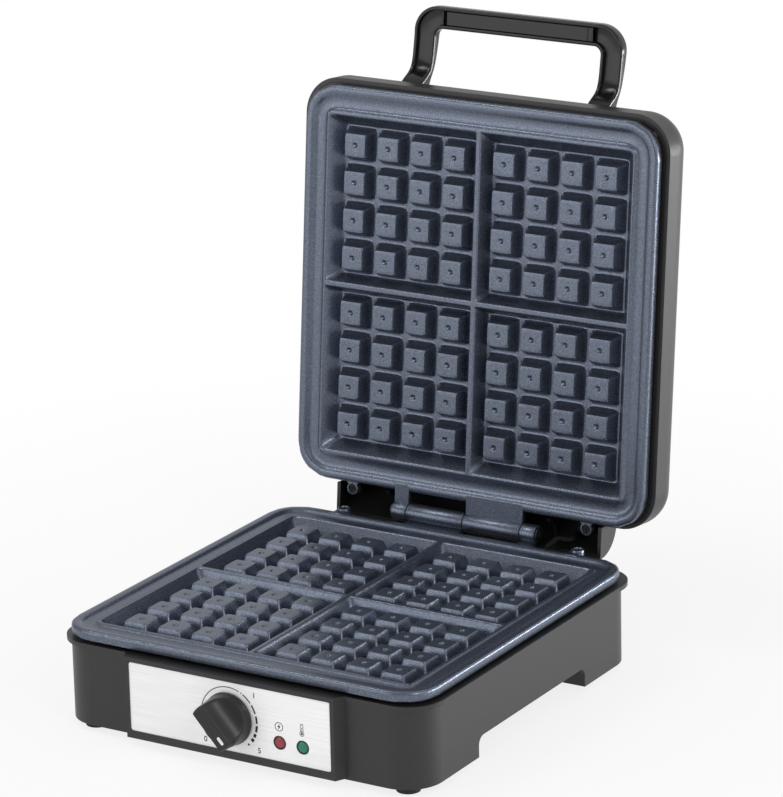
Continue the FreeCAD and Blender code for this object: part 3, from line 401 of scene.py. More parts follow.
def blockCentres():
    # Places of the blocks to one side of the middle, a pitch apart.
    return [block["first"] + i * block["pitch"] for i in range(block["count"])]


def plateLines():
    # Grid lines across a plate, close together at every rounded edge, even across each dish.
    half = list(plate["middleLines"])
    near = [i * block["dishStep"] for i in range(block["dishReach"] + 1)] + plate["blockLines"]
    for centre in blockCentres():
        half += [centre + d for d in near] + [centre - d for d in near[1:]]
        half.append(centre + block["pitch"] / 2)
    half = [v for v in half if v < plate["lastBlockLine"]] + plate["outerLines"]
    half = np.array(sorted(half))
    half = half[np.concatenate([[True], np.diff(half) > plate["leastStep"]])]
    return np.concatenate([-half[:0:-1], half])


def fromBlock(distance):
    # Distance from the middle of the nearest block along one direction.
    cell = np.clip(np.round((distance - block["first"]) / block["pitch"]), 0, block["count"] - 1)
    return np.abs(distance - block["first"] - cell * block["pitch"])


def plateHeight(x, y):
    # Height above the bay floor: leaning bay walls up to the land, joined with the frustums of
    # the blocks. A block's plan is a square whose corners grow rounder towards its foot.
    ax, ay = np.abs(x), np.abs(y)
    landRise = plate["floorDrop"] - plate["landDrop"]
    innerSlope = landRise / (plate["innerFloor"] - plate["innerEdge"])
    outerSlope = landRise / (plate["outerEdge"] - plate["outerFloor"])
    inner = softMax((plate["innerFloor"] - ax) * innerSlope,
                    (plate["innerFloor"] - ay) * innerSlope, plate["innerCorner"])
    outer = softMax((ax - plate["outerFloor"]) * outerSlope,
                    (ay - plate["outerFloor"]) * outerSlope, plate["outerCorner"])
    walls = softMax(softMax(inner, outer, plate["wallJoin"]), 0.0, plate["floorEdge"])
    walls = softMin(walls, landRise, plate["landEdge"])
    dx, dy = fromBlock(ax), fromBlock(ay)
    below = np.clip(np.maximum(dx, dy) - block["topHalf"], 0, None)
    side = softMax(dx, dy, block["topCorner"] + block["cornerGain"] * below)
    slope = block["height"] / (block["baseHalf"] - block["topHalf"])
    frustum = softMin((block["baseHalf"] - side) * slope, block["height"], block["topEdge"])
    return softMax(walls, frustum, block["footEdge"])


def rimLoops(border):
    # The rim about the grid: each loop runs parallel to the outline at an inset and a drop.
    core = np.array([plate["halfWidth"] - plate["corner"], plate["halfDepth"] - plate["corner"]])
    foot = np.clip(border, -core, core)
    out = border - foot
    out /= np.linalg.norm(out, axis=1)[:, None]
    rows = []
    for inset, drop in plate["rimProfile"]:
        flat = foot + out * (plate["corner"] - inset)
        rows.append(np.column_stack([flat, np.full(len(flat), plate["rimTop"] - drop)]))
    return rows


def dishRings(lines):
    # Where each dish takes the grid's place: the grid points on its square border, in turn.
    at = [int(np.argmin(np.abs(lines - c * s))) for c in blockCentres() for s in (-1, 1)]
    reach = block["dishReach"]
    k = np.arange(-reach, reach)
    side = np.full(2 * reach, reach)
    square = np.concatenate([np.column_stack([side, k]), np.column_stack([-k, side]),
                             np.column_stack([-side, -k]), np.column_stack([k, -side])])
    return [(i, j, (i + square[:, 0]) * len(lines) + j + square[:, 1]) for i in at for j in at]


def plateSurface():
    # The grid of blocks and bays with a round dish in each block, the rim and a closed underside.
    lines = plateLines()
    n = len(lines)
    x, y = np.meshgrid(lines, lines, indexing="ij")
    z = plate["rimTop"] - plate["floorDrop"] + plateHeight(x, y)
    top = np.stack([x, y, z], -1).reshape(-1, 3)
    keep = np.ones((n - 1, n - 1), bool)
    rings = dishRings(lines)
    reach = block["dishReach"]
    for i, j, _ in rings:
        keep[i - reach:i + reach, j - reach:j + reach] = False
    faces = gridFaces(n, n)[keep.reshape(-1)][:, ::-1].tolist()
    points, count = [top], len(top)
    for i, j, ring in rings:
        middle = top[i * n + j]
        ray = top[ring][:, :2] - middle[:2]
        ray /= np.linalg.norm(ray, axis=1)[:, None]
        last = ring
        for radius, depth in block["dish"]:
            points.append(np.column_stack([middle[:2] + ray * radius,
                                           np.full(len(ring), middle[2] - depth)]))
            row = count + np.arange(len(ring))
            count += len(ring)
            faces += ringFaces(last, row)
            last = row
        faces.append(last.tolist())
    k = np.arange(n - 1)
    border = np.concatenate([k * n, (n - 1) * n + k, (n - 1 - k) * n + n - 1, n - 1 - k])
    loops = rimLoops(top[border][:, :2])
    rows = [border] + [count + i * len(border) + np.arange(len(border)) for i in range(len(loops))]
    points += loops + [[[0, 0, plate["rimTop"] - plate["tubDrop"]]]]
    for a, b in zip(rows[:-1], rows[1:]):
        faces += np.stack([np.roll(a, -1), a, b, np.roll(b, -1)], -1).tolist()
    middle = np.full(len(border), count + len(loops) * len(border))
    faces += np.stack([np.roll(rows[-1], -1), rows[-1], middle], -1).tolist()
    return np.concatenate(points), faces


def barrelParts(side, armBottom, thickness):
    # A long and a short knuckle on the hinge axis with their arms to the plate's rear edge.
    gap = hinge["gap"]
    spans = [sorted((side * gap, side * (hinge["split"] - gap))),
             sorted((-side * (hinge["split"] + gap), -side * (hinge["end"] - gap)))]
    r = hinge["barrelRadius"]
    parts = []
    for x0, x1 in spans:
        profile = [(x0, hinge["bore"])] + [(x0 + along, r - cut) for along, cut in hinge["barrelEdge"]]
        profile += [(x1 - along, r - cut) for along, cut in hinge["barrelEdge"][::-1]]
        profile.append((x1, hinge["bore"]))
        parts.append(turnedX(profile, (hinge["y"], hinge["z"]), hinge["barrelSteps"]))
        parts.append(softBox((x0, plate["halfDepth"] - plate["root"], armBottom),
                             (x1, hinge["y"], armBottom + thickness), hinge["armEdge"]))
    return parts


def lugParts(top):
    # Screw lugs at the rear edge, each a short tube with a recess, on a small root.
    parts = []
    low = top - lug["height"]
    r, recess, bottom = lug["radius"], lug["recessRadius"], top - lug["recessDepth"]
    profile = [(lug["bore"], low)] + [(r - inset, low + rise) for inset, rise in lug["footEdge"]]
    profile += [(r - inset, top - drop) for inset, drop in lug["topEdge"]]
    profile += [(recess + inset, top - drop) for inset, drop in lug["recessEdge"]]
    profile += [(recess, bottom), (lug["bore"], bottom)]
    z0 = max(low, plate["rimTop"] - lug["rimHeight"])
    z1 = min(top, plate["rimTop"])
    for side in (-1, 1):
        x = side * lug["x"]
        parts.append(turnedZ(profile, (x, lug["y"]), lug["steps"]))
        parts.append(softBox((x - r, plate["halfDepth"] - plate["root"], z0),
                             (x + r, lug["y"] - recess, z1), lug["rootEdge"]))
    return parts


grid = plateSurface()
lowerPoints, lowerFaces = joinParts(
    [grid] + barrelParts(-1, hinge["z"] - hinge["barrelRadius"], hinge["lowerArm"])
    + lugParts(lug["top"]))
place(meshPiece("lowerPlate", lowerPoints, lowerFaces), "base", "plate_coating", "lower_plate")
upperLugTop = 2 * hinge["parting"] - (2 * hinge["z"] - lug["top"])
upperPoints, upperFaces = joinParts(
    [mirrorUp(part) for part in [grid] + lugParts(upperLugTop)]
    + barrelParts(1, hinge["parting"] + hinge["armGap"], hinge["upperArm"]))
place(meshPiece("upperPlate", openLid(upperPoints), upperFaces), "lid", "plate_coating",
      "upper_plate")
print("plates", len(lowerPoints), len(upperPoints))


# Handle

handle = {"halfWidth": 68.5, "legWidth": 14.0, "barWidth": 13.0, "reach": 45.6, "corner": 15.5,
          "innerCorner": 4.5, "frontLevel": 33.6, "rearLevel": 41.5, "rim": 2.2, "channel": 3.0,
          "channelStart": 4.8, "channelFade": 2.5, "start": -0.6, "lidRim": 67.0,
          # side curves of the legs: a place along the leg and how far it bends to the lid
          "frontCurve": [(-9.7, 14.6), (1.3, 13.6), (3.8, 10.1), (6.3, 6.1), (9.3, 3.3),
                         (13.3, 1.8), (20.3, 0.8), (28.3, 0.0)],
          "rearCurve": [(-9.7, 13.2), (-4.7, 11.9), (1.3, 10.0), (9.8, 5.3), (19.3, 2.5),
                        (29.3, 0.6), (35.3, 0.0)],
          # profile of the rounded lip, of the wall down to the channel and of the rounded back:
          # an inset from the edge, or from the end of the lip, and a depth
          "lip": [(0, 3.2), (0, 1.2), (0.1, 0.6), (0.35, 0.2), (0.75, 0.03), (1.1, 0)],
          "lipEnd": [(-0.45, 0), (-0.15, 0.08), (0, 0.3), (0.05, 0.8)],
          "channelFoot": [(0.1, -0.5), (0.25, -0.12), (0.6, 0)],
          "back": [(2.6, 0.0), (1.5, 0.14), (0.75, 0.52), (0.25, 1.15), (0.04, 1.9), (0, 2.7)],
          "legSteps": 30, "turnSteps": 16, "barSteps": 8}
insert = {"span": (-47.0, 49.6), "leftRib": (-50.2, -48.8), "ridges": [(45.2, 46.3), (48.6, 49.6)],
          "margin": 0.2, "inset": 0.2, "ridgeInset": -0.15, "edge": 0.4}


def smoothLine(pairs, at):
    # A cubic between neighbouring pairs; the slope at a pair is the mean of the slopes beside it.
    p = np.array(pairs, float)
    step = np.diff(p[:, 1]) / np.diff(p[:, 0])
    slope = np.concatenate([step[:1], (step[1:] + step[:-1]) / 2, step[-1:]])
    i = np.clip(np.searchsorted(p[:, 0], at) - 1, 0, len(p) - 2)
    span = p[i + 1, 0] - p[i, 0]
    t = np.clip((at - p[i, 0]) / span, 0, 1)
    rise = p[i, 1] * (1 + 2 * t) * (1 - t) ** 2 + p[i + 1, 1] * t * t * (3 - 2 * t)
    return rise + span * t * (1 - t) * (slope[i] * (1 - t) - slope[i + 1] * t)


def handleEdge(half, reach, corner):
    # One edge of the arch in plan: a leg, a quarter turn and the bar to its middle, mirrored.
    legSteps, barSteps = handle["legSteps"], handle["barSteps"]
    leg = np.column_stack([np.full(legSteps, half),
                           np.linspace(handle["start"], reach - corner, legSteps)])
    t = np.linspace(0, math.pi / 2, handle["turnSteps"])[1:-1]
    turn = np.column_stack([half - corner + corner * np.cos(t),
                            reach - corner + corner * np.sin(t)])
    bar = np.column_stack([np.linspace(half - corner, 0, barSteps), np.full(barSteps, reach)])
    right = np.concatenate([leg, turn, bar])
    left = right[-2::-1] * (-1, 1)
    return np.concatenate([right, left])


def handleArch():
    # A closed profile swept along the arch. Each profile point has an inset from the outer or the
    # inner edge and a depth from the front or the rear side curve; the channel fades in.
    rim = handle["rim"]
    outer = handleEdge(handle["halfWidth"], handle["reach"], handle["corner"])
    inner = handleEdge(handle["halfWidth"] - handle["legWidth"],
                       handle["reach"] - handle["barWidth"], handle["innerCorner"])
    across = inner - outer
    across /= np.linalg.norm(across, axis=1)[:, None]

    # Plan points at an inset from the outer edge (side 0) or from the inner edge (side 1)
    def planAt(side, inset):
        return inner - across * inset if side else outer + across * inset

    front = [(inset, depth, 0) for inset, depth in handle["lip"]]
    front += [(rim + inset, depth, 0) for inset, depth in handle["lipEnd"]]
    front += [(rim + inset, depth, 1) for inset, depth in handle["channelFoot"]]
    back = handle["back"]
    rows = []
    for side, inset, depth, deep in [(0, *v) for v in front] + [(1, *v) for v in front[::-1]]:
        flat = planAt(side, inset)
        level = handle["frontLevel"] - smoothLine(handle["frontCurve"], flat[:, 1])
        cut = depth + deep * handle["channel"]
        if inset > handle["lip"][-1][0]:
            fade = np.clip((flat[:, 1] - handle["channelStart"]) / handle["channelFade"], 0, 1)
            cut = cut * (fade * fade * (3 - 2 * fade))
        rows.append(np.column_stack([flat[:, 0], flat[:, 1], level + cut]))
    for side, inset, depth in [(1, *v) for v in back[::-1]] + [(0, *v) for v in back]:
        flat = planAt(side, inset)
        level = handle["rearLevel"] - smoothLine(handle["rearCurve"], flat[:, 1])
        rows.append(np.column_stack([flat[:, 0], flat[:, 1], level - depth]))
    loop = np.stack(rows, 1)
    count, width = loop.shape[:2]
    points = loop.reshape(-1, 3)
    points = np.column_stack([points[:, 0], -plate["halfDepth"] - points[:, 1],
                              handle["lidRim"] + points[:, 2]])
    faces = gridFaces(count, width, True).tolist()
    faces += [list(range(width)), list(range((count - 1) * width, count * width))[::-1]]
    return points, faces


def handleBars(spans, inset):
    # Soft boxes lying in the channel of the handle's bar, each over a span of X, with their
    # fronts at an inset from the front of the bar.
    rim = handle["rim"] + insert["margin"]
    near = -plate["halfDepth"] - handle["reach"] + rim
    far = -plate["halfDepth"] - handle["reach"] + handle["barWidth"] - rim
    front = handle["lidRim"] + handle["frontLevel"]
    return joinParts([softBox((a, near, front + inset), (b, far, front + handle["channel"]),
                              min(insert["edge"], (b - a) / 4)) for a, b in spans])


archPoints, archFaces = handleArch()
place(meshPiece("handleArch", openLid(archPoints), archFaces), "lid", "handle_plastic",
      "handle_arch")
insertPoints, insertFaces = handleBars([insert["span"]], insert["inset"])
place(meshPiece("handleInsert", openLid(insertPoints), insertFaces), "lid", "handle_plastic",
      "handle_insert")
ridgePoints, ridgeFaces = joinParts([handleBars([insert["leftRib"]], insert["inset"]),
                                     handleBars(insert["ridges"], insert["ridgeInset"])])
place(meshPiece("handleRidges", openLid(ridgePoints), ridgeFaces), "lid", "handle_plastic")
print("handle", len(archPoints))


# Dial

knob = {"height": 28.6, "angle": -47.8, "radius": 14.7, "topRadius": 13.5, "top": 17.3, "low": 0.4,
        "grip": 4.4, "scoop": 14.0, "lift": 2.0, "gripEdge": 1.0, "skirtTop": 2.6,
        # lines across the grip, from its middle outwards
        "lines": [0, 2.0, 3.4, 3.9, 4.2, 4.4, 4.5, 4.6, 4.7, 4.85, 5.1, 5.5, 6.1, 6.9, 8.0, 9.2,
                  10.2, 11.2, 12.0, 12.7, 13.25, 13.65, 13.95, 14.15, 14.26],
        # rounded ends of these lines: an inset and a drop, in full from a half length of fullEnd
        "end": [(0, 1.1), (0.09, 0.66), (0.32, 0.32), (0.66, 0.09), (1.1, 0)], "fullEnd": 2.4,
        "insideReach": 0.9, "insideSteps": 13, "leastHalf": 0.02, "leastStep": 0.01, "settle": 20,
        # the wall's steps down to the skirt, and the skirt's rings as a height and a radius
        "wall": [0.3, 0.65, 1.0],
        "skirt": [(2.45, 14.62), (2.25, 14.82), (1.9, 14.95), (0.9, 15.0), (0.4, 14.7)]}
pointer = {"start": 5.7, "end": 10.8, "halfWidth": 0.95, "low": 16.8, "top": 17.4, "steps": 10}


def knobHeight(across):
    # Height over the distance from the grip's middle: flat, then falling along a circle.
    reach = knob["scoop"] ** 2 - (np.abs(across) - knob["grip"] - knob["scoop"]) ** 2
    scoop = np.where(np.abs(across) < knob["grip"], 0.0, np.sqrt(np.clip(reach, 0, None)))
    return softMin(knob["top"] + knob["lift"] - scoop, knob["top"], knob["gripEdge"])


def knobCone(height):
    # Radius of the knob's side, which falls evenly from its low end to its top.
    slope = (knob["radius"] - knob["topRadius"]) / (knob["top"] - knob["low"])
    return knob["radius"] - slope * (height - knob["low"])


def knobBody():
    # Lines across the grip at constant height, each ending on the cone with a rounded end. Their
    # border goes on down the cone to a skirt ring.
    limit = knob["topRadius"]
    for i in range(knob["settle"]):  # settles where the scoop's line meets the cone
        limit = float(knobCone(knobHeight(limit)))
    half = np.array(knob["lines"])
    half = np.append(half[half < limit - knob["leastStep"]], limit)
    across = np.concatenate([-half[:0:-1], half])
    high = knobHeight(across)
    reach = np.sqrt(np.clip(knobCone(high) ** 2 - across ** 2, knob["leastHalf"] ** 2, None))
    share = np.minimum(reach / knob["fullEnd"], 1.0)
    ends = [(reach - inset * share, drop) for inset, drop in knob["end"]]
    inside = np.linspace(knob["insideReach"], -knob["insideReach"], knob["insideSteps"])
    middle = [(ends[-1][0] * along, 0.0) for along in inside]
    columns = ends + middle + [(-x, drop) for x, drop in ends[::-1]]
    top = np.stack([np.column_stack([x, across, high - drop * share]) for x, drop in columns], 1)
    count, width = top.shape[:2]
    points = top.reshape(-1, 3)
    faces = gridFaces(count, width).tolist()
    first = np.arange(count) * width
    ring = np.concatenate([first, (first + width - 1)[::-1]])
    border = points[ring]
    turn = np.arctan2(border[:, 1], border[:, 0])
    short = knobCone(border[:, 2]) - np.hypot(border[:, 0], border[:, 1])
    levels = []
    for part in knob["wall"]:
        height = border[:, 2] + (knob["skirtTop"] - border[:, 2]) * part
        levels.append((height, knobCone(height) - (1 - part) * short))
    levels += [(np.full(len(turn), height), radius) for height, radius in knob["skirt"]]
    rings = [np.column_stack([radius * np.cos(turn), radius * np.sin(turn), height])
             for height, radius in levels]
    rows = [ring] + [len(points) + i * len(ring) + np.arange(len(ring)) for i in range(len(rings))]
    for a, b in zip(rows[:-1], rows[1:]):
        faces += ringFaces(a, b)
    faces.append(rows[-1][::-1].tolist())
    return np.concatenate([points] + rings), faces


def stadium(start, end, half, steps):
    # The outline of a bar with round ends along X.
    t = np.linspace(-math.pi / 2, math.pi / 2, steps)
    right = np.column_stack([end - half + half * np.cos(t), half * np.sin(t)])
    left = np.column_stack([start + half - half * np.cos(t), -half * np.sin(t)])
    return np.concatenate([right, left])


knobPoints, knobFaces = knobBody()
place(meshPiece("controlKnob", ontoPanel(knobPoints, 0, knob["height"], knob["angle"]), knobFaces),
      "knob", "knob_plastic", "control_knob")
markPoints, markFaces = flatShape(
    stadium(pointer["start"], pointer["end"], pointer["halfWidth"], pointer["steps"]),
    pointer["low"], pointer["top"])
place(meshPiece("knobPointer", ontoPanel(markPoints, 0, knob["height"], knob["angle"]), markFaces),
      "knob", "white_mark", "knob_pointer")
print("dial", len(knobPoints))


# Lamps, each a domed lens in a thin dark ring

lamps = {"height": 20.5, "power": 32.0, "ready": 46.5, "radius": 3.9, "dome": 3.25, "rise": 0.55,
         "domeFoot": -0.3, "stem": [(3.85, -3.2), (3.85, -0.6)], "domeSteps": 10, "domeEnd": 0.02,
         # the ring's profile beside the dome and beside its own outer edge
         "ringInner": [(0.02, -0.5), (0.05, 0.1), (0.25, 0.28)],
         "ringOuter": [(-0.15, 0.25), (0.02, 0.05), (0.05, -0.5)], "steps": 40}
domeTurn = np.linspace(0, math.pi / 2 - lamps["domeEnd"], lamps["domeSteps"])
domeRise = lamps["rise"] - lamps["domeFoot"]
domeProfile = lamps["stem"] + [
    (lamps["dome"] * math.cos(t), lamps["domeFoot"] + domeRise * math.sin(t)) for t in domeTurn]
ringProfile = [(lamps["dome"] + out, rise) for out, rise in lamps["ringInner"]]
ringProfile += [(lamps["radius"] + out, rise) for out, rise in lamps["ringOuter"]]
domePoints, domeFaces = turnedZ(domeProfile, (0, 0), lamps["steps"])
ringPoints, ringQuads = turnedZ(ringProfile, (0, 0), lamps["steps"])
for key, slot in (("power", "red_lens"), ("ready", "green_lens")):
    place(meshPiece(key + "Lens", ontoPanel(domePoints, lamps[key], lamps["height"]), domeFaces),
          "base", slot, key + "_lamp_lens")
    place(meshPiece(key + "Ring", ontoPanel(ringPoints, lamps[key], lamps["height"]), ringQuads),
          "base", "casing_plastic")
print("lamps", len(domePoints), len(ringPoints))


# Printed marks on the panel

dialMarks = {"radius": 17.75, "lineHalf": 0.25, "lineStart": 223.0, "lineEnd": 67.0, "lineSteps": 60,
             # a dot is an angle and a radius, a dash two angles and half its width
             "dots": [(62.5, 0.42), (-46.5, 0.65)], "dotSteps": 14,
             "dashes": [(58.5, 38.5, 0.36), (34.5, 18.0, 0.46), (13.5, 0.0, 0.57),
                        (-4.0, -16.0, 0.7), (-20.0, -27.0, 0.84), (-30.5, -37.0, 0.95)],
             "dashSteps": 8}
numbers = {"size": 4.4, "weight": 0.05, "places": [("0", -15.5, 13.7), ("1", 16.4, 44.4),
                                                   ("5", 18.9, 13.3)]}
powerSign = {"x": 31.8, "z": 29.6, "radius": 2.6, "inner": 2.2, "steps": 32,
             "bolt": [(0.5, 1.9), (-1.0, -0.15), (-0.1, -0.15), (-0.6, -1.9), (1.0, 0.4), (0.1, 0.4)]}
heatSign = {"x": 46.2, "z": 30.3, "bulbDrop": 2.1, "bulb": 1.45, "bulbInner": 1.1, "bulbSteps": 24,
            "drop": 0.7, "dropSteps": 16, "tubeHalf": 0.95, "tubeInner": 0.62, "tubeLow": -1.0,
            "tubeTop": 3.0, "capHalf": 0.6, "capTop": 3.5, "stemHalf": 0.16, "stemReach": 1.6}


def onPanel(flat):
    # Flat points lifted just clear of the panel's face.
    return np.column_stack([flat, np.full(len(flat), panel["markLift"])])


def arcBand(start, end, half, steps):
    # A band along the dial's circle between two angles: quads between its outer and inner edge.
    t = np.radians(np.linspace(start, end, steps))
    ray = np.column_stack([np.cos(t), np.sin(t)])
    outline = np.concatenate([ray * (dialMarks["radius"] + half),
                              ray[::-1] * (dialMarks["radius"] - half)])
    n = len(outline)
    points = onPanel(outline) + (0, knob["height"], 0)
    return points, [[i, i + 1, n - 2 - i, n - 1 - i] for i in range(steps - 1)]


def disc(x, z, radius, steps, inner=0.0):
    # A flat disc, or a flat ring where an inner radius is given.
    t = np.linspace(0, 2 * math.pi, steps, endpoint=False)
    ray = np.column_stack([np.cos(t), np.sin(t)])
    rim = ray * radius + (x, z)
    if not inner:
        return onPanel(rim), [list(range(steps))]
    flat = np.concatenate([rim, ray * inner + (x, z)])
    return onPanel(flat), ringFaces(np.arange(steps), np.arange(steps, 2 * steps))


def dialDot(angle, radius):
    # A dot on the dial's circle at an angle.
    turn = math.radians(angle)
    return disc(dialMarks["radius"] * math.cos(turn),
                knob["height"] + dialMarks["radius"] * math.sin(turn), radius, dialMarks["dotSteps"])


def shapeAt(outline, sign):
    # A flat many-sided shape at the place of a sign.
    flat = np.asarray(outline, float) + (sign["x"], sign["z"])
    return onPanel(flat), [list(range(len(flat)))]


def numberAt(text, x, z):
    # Points and faces of a number from the built-in font, its middle at a place.
    curve = bpy.data.curves.new("number", "FONT")
    curve.body = text
    curve.size = numbers["size"]
    curve.resolution_u = 4
    curve.offset = numbers["weight"]
    curve.align_x = "CENTER"
    curve.align_y = "CENTER"
    holder = bpy.data.objects.new("number", curve)
    bpy.context.scene.collection.objects.link(holder)
    bpy.context.view_layer.update()
    shown = holder.evaluated_get(bpy.context.evaluated_depsgraph_get())
    mesh = bpy.data.meshes.new_from_object(shown)
    points = np.zeros(len(mesh.vertices) * 3)
    mesh.vertices.foreach_get("co", points)
    faces = [list(f.vertices) for f in mesh.polygons]
    bpy.data.objects.remove(holder)
    bpy.data.curves.remove(curve)
    bpy.data.meshes.remove(mesh)
    return onPanel(points.reshape(-1, 3)[:, :2] + (x, z)), faces


def powerParts():
    # A ring with a lightning bolt in it.
    return [disc(powerSign["x"], powerSign["z"], powerSign["radius"], powerSign["steps"],
                 powerSign["inner"]),
            shapeAt(powerSign["bolt"], powerSign)]


def heatParts():
    # A thermometer: a ring and a drop for the bulb, two bars and a cap for the tube, a stem.
    sign = heatSign
    bulbZ = sign["z"] - sign["bulbDrop"]
    parts = [disc(sign["x"], bulbZ, sign["bulb"], sign["bulbSteps"], sign["bulbInner"]),
             disc(sign["x"], bulbZ, sign["drop"], sign["dropSteps"])]
    half, inner, low, top = sign["tubeHalf"], sign["tubeInner"], sign["tubeLow"], sign["tubeTop"]
    for side in (-1, 1):
        parts.append(shapeAt([(side * half, low), (side * inner, low), (side * inner, top),
                              (side * half, top)], sign))
    parts.append(shapeAt([(-half, top), (half, top), (sign["capHalf"], sign["capTop"]),
                          (-sign["capHalf"], sign["capTop"])], sign))
    stem, reach = sign["stemHalf"], sign["stemReach"]
    parts.append(shapeAt([(-stem, -reach), (stem, -reach), (stem, reach), (-stem, reach)], sign))
    return parts


markParts = [arcBand(dialMarks["lineStart"], dialMarks["lineEnd"], dialMarks["lineHalf"],
                     dialMarks["lineSteps"])]
markParts += [arcBand(*dash, dialMarks["dashSteps"]) for dash in dialMarks["dashes"]]
markParts += [dialDot(*dot) for dot in dialMarks["dots"]]
markParts += [numberAt(*row) for row in numbers["places"]]
markParts += powerParts() + heatParts()
printPoints, printFaces = joinParts(markParts)
place(meshPiece("panelMarks", ontoPanel(printPoints, 0, 0), printFaces), "base", "black_steel")
print("marks", len(printPoints))


# Stage, light and camera, in metres

stage = {"floorHalf": 6.0, "floorColour": 0.9, "shadowNear": 0.25, "shadowFar": 0.6,
         "nearGlow": 0.82, "floorReach": 0.45, "worldReach": 0.9, "worldLight": 0.62,
         "frontGlow": 0.35, "brightSide": (0.75, 0.66, 0.0)}


def mathNode(tree, operation, first, second, clamp=False):
    # A node that adds or multiplies two outputs.
    node = tree.nodes.new("ShaderNodeMath")
    node.operation = operation
    node.use_clamp = clamp
    tree.links.new(first, node.inputs[0])
    tree.links.new(second, node.inputs[1])
    return node.outputs["Value"]


def seenLevel(tree, vector, reach):
    # White for camera rays; rays mirrored or passed on by a piece see white at the right rear,
    # falling to a dimmer level at the left front. The second output is one for all these rays.
    path = tree.nodes.new("ShaderNodeLightPath")
    aside = tree.nodes.new("ShaderNodeVectorMath")
    aside.operation = "DOT_PRODUCT"
    aside.inputs[1].default_value = stage["brightSide"]
    share = setInputs(tree.nodes.new("ShaderNodeMapRange"), fromMin=-reach, fromMax=reach,
                      toMin=stage["frontGlow"], toMax=1.0)
    tree.links.new(vector, aside.inputs[0])
    tree.links.new(aside.outputs["Value"], share.inputs["Value"])
    camera = path.outputs["Is Camera Ray"]
    passed = mathNode(tree, "ADD", path.outputs["Is Glossy Ray"],
                      path.outputs["Is Transmission Ray"], True)
    scaled = mathNode(tree, "MULTIPLY", passed, share.outputs["Result"], True)
    return (mathNode(tree, "ADD", camera, scaled, True),
            mathNode(tree, "ADD", camera, passed, True))


def paleFloor():
    # A plain pale floor that takes the shadow. Away from the object it glows white for the camera.
    mesh = bpy.data.meshes.new("floor")
    half = stage["floorHalf"]
    mesh.from_pydata([(-half, -half, 0), (half, -half, 0), (half, half, 0), (-half, half, 0)], [],
                     [(0, 1, 2, 3)])
    floor = bpy.data.objects.new("floor", mesh)
    bpy.context.scene.collection.objects.link(floor)
    material = bpy.data.materials.new("floor")
    material.use_nodes = True
    tree = material.node_tree
    shader = tree.nodes["Principled BSDF"]
    setInputs(shader, roughness=0.9)
    shader.inputs["Base Color"].default_value = (*[stage["floorColour"]] * 3, 1.0)
    shader.inputs["Specular IOR Level"].default_value = 0.0
    glow = setInputs(tree.nodes.new("ShaderNodeEmission"), color=(1.0, 1.0, 1.0, 1.0), strength=1.0)
    coords = tree.nodes.new("ShaderNodeTexCoord")
    distance = tree.nodes.new("ShaderNodeVectorMath")
    distance.operation = "LENGTH"
    share = setInputs(tree.nodes.new("ShaderNodeMapRange"), fromMin=stage["shadowNear"],
                      fromMax=stage["shadowFar"], toMin=stage["nearGlow"], toMax=1.0)
    mixed = tree.nodes.new("ShaderNodeMixShader")
    link = tree.links.new
    link(coords.outputs["Object"], distance.inputs[0])
    link(distance.outputs["Value"], share.inputs["Value"])
    seen, _ = seenLevel(tree, coords.outputs["Object"], stage["floorReach"])
    link(mathNode(tree, "MULTIPLY", share.outputs["Result"], seen), mixed.inputs["Fac"])
    link(shader.outputs["BSDF"], mixed.inputs[1])
    link(glow.outputs["Emission"], mixed.inputs[2])
    link(mixed.outputs["Shader"], tree.nodes["Material Output"].inputs["Surface"])
    mesh.materials.append(material)


def studioWorld():
    # A white world for the camera and for mirrored rays, and a dimmer one for all other light.
    world = bpy.data.worlds.new("studio")
    bpy.context.scene.world = world
    world.use_nodes = True
    tree = world.node_tree
    background = setInputs(tree.nodes["Background"], color=(1.0, 1.0, 1.0, 1.0))
    coords = tree.nodes.new("ShaderNodeTexCoord")
    seen, flag = seenLevel(tree, coords.outputs["Generated"], stage["worldReach"])
    rest = setInputs(tree.nodes.new("ShaderNodeMapRange"), toMin=stage["worldLight"], toMax=0.0)
    tree.links.new(flag, rest.inputs["Value"])
    tree.links.new(mathNode(tree, "ADD", rest.outputs["Result"], seen),
                   background.inputs["Strength"])


paleFloor()
studioWorld()

# Panel lamps: place, aim, width, height and watts
lights = {"keyLight": ((-1.3, -1.9, 0.68), (0, 0, 0.15), 2.0, 1.15, 12.0),
          "edgeLight": ((1.53, -0.95, 1.26), (0, 0, 0.08), 0.5, 0.5, 7.0),
          "topLight": ((-1.0, -0.55, 1.85), (0, 0.08, 0.2), 0.6, 0.6, 6.0),
          "rightLight": ((1.5, 1.1, 0.085), (0.1, 0.0, 0.085), 1.4, 0.18, 20.0)}


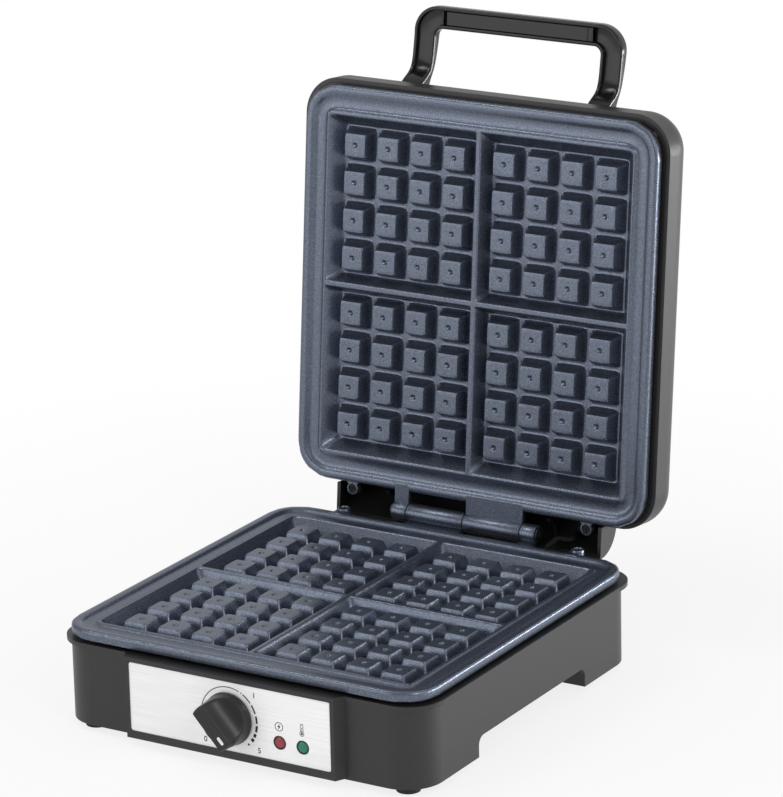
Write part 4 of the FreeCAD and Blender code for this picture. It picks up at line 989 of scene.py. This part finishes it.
def softLight(name, spot, aim, width, tall, power):
    # A panel lamp at a place; its back points from the aim to the lamp, its side stays level.
    data = bpy.data.lights.new(name, "AREA")
    data.shape = "RECTANGLE"
    data.size = width
    data.size_y = tall
    data.energy = power
    lamp = bpy.data.objects.new(name, data)
    bpy.context.scene.collection.objects.link(lamp)
    back = (np.array(spot) - np.array(aim)).astype(float)
    back /= np.linalg.norm(back)
    right = np.cross((0.0, 0.0, 1.0), back)
    right /= np.linalg.norm(right)
    up = np.cross(back, right)
    lamp.matrix_world = Matrix([[right[i], up[i], back[i], spot[i]] for i in range(3)]
                               + [[0, 0, 0, 1]])


for name, settings in lights.items():
    softLight(name, *settings)
print("stage", len(lights), "lamps")

# The camera solved from the photo: angles in degrees, distances in millimetres, focal in pixels
view = {"azimuth": 31.687, "elevation": 17.644, "roll": -1.356, "distance": 2468.731,
        "shiftX": -23.7193, "shiftY": -110.1775, "focal": 4444.393, "imageHeight": 797.0,
        "frameRise": 57.5, "sensor": 36.0, "clipEnd": 50.0}


def photoCamera():
    # Camera axes from azimuth, elevation and roll; the eye is where the solved shifts put it.
    azimuth, elevation, roll = (math.radians(view[key]) for key in ("azimuth", "elevation", "roll"))
    back = np.array([math.sin(azimuth) * math.cos(elevation),
                     -math.cos(azimuth) * math.cos(elevation), math.sin(elevation)])
    right = np.array([math.cos(azimuth), math.sin(azimuth), 0.0])
    up = np.cross(back, right)
    turned = np.array([math.cos(roll) * right + math.sin(roll) * up,
                       -math.sin(roll) * right + math.cos(roll) * up, back])
    eye = turned.T @ np.array([-view["shiftX"], -view["shiftY"], view["distance"]])
    eye += (0.0, -originY, view["frameRise"])
    data = bpy.data.cameras.new("photoCamera")
    data.sensor_width = view["sensor"]
    data.lens = view["focal"] / view["imageHeight"] * view["sensor"]
    data.clip_end = view["clipEnd"]
    camera = bpy.data.objects.new("photoCamera", data)
    bpy.context.scene.collection.objects.link(camera)
    camera.matrix_world = Matrix([[*turned[:, i], eye[i] * mm] for i in range(3)]
                                 + [[0, 0, 0, 1]])
    bpy.context.scene.camera = camera


photoCamera()
bpy.context.scene.view_settings.view_transform = "Standard"
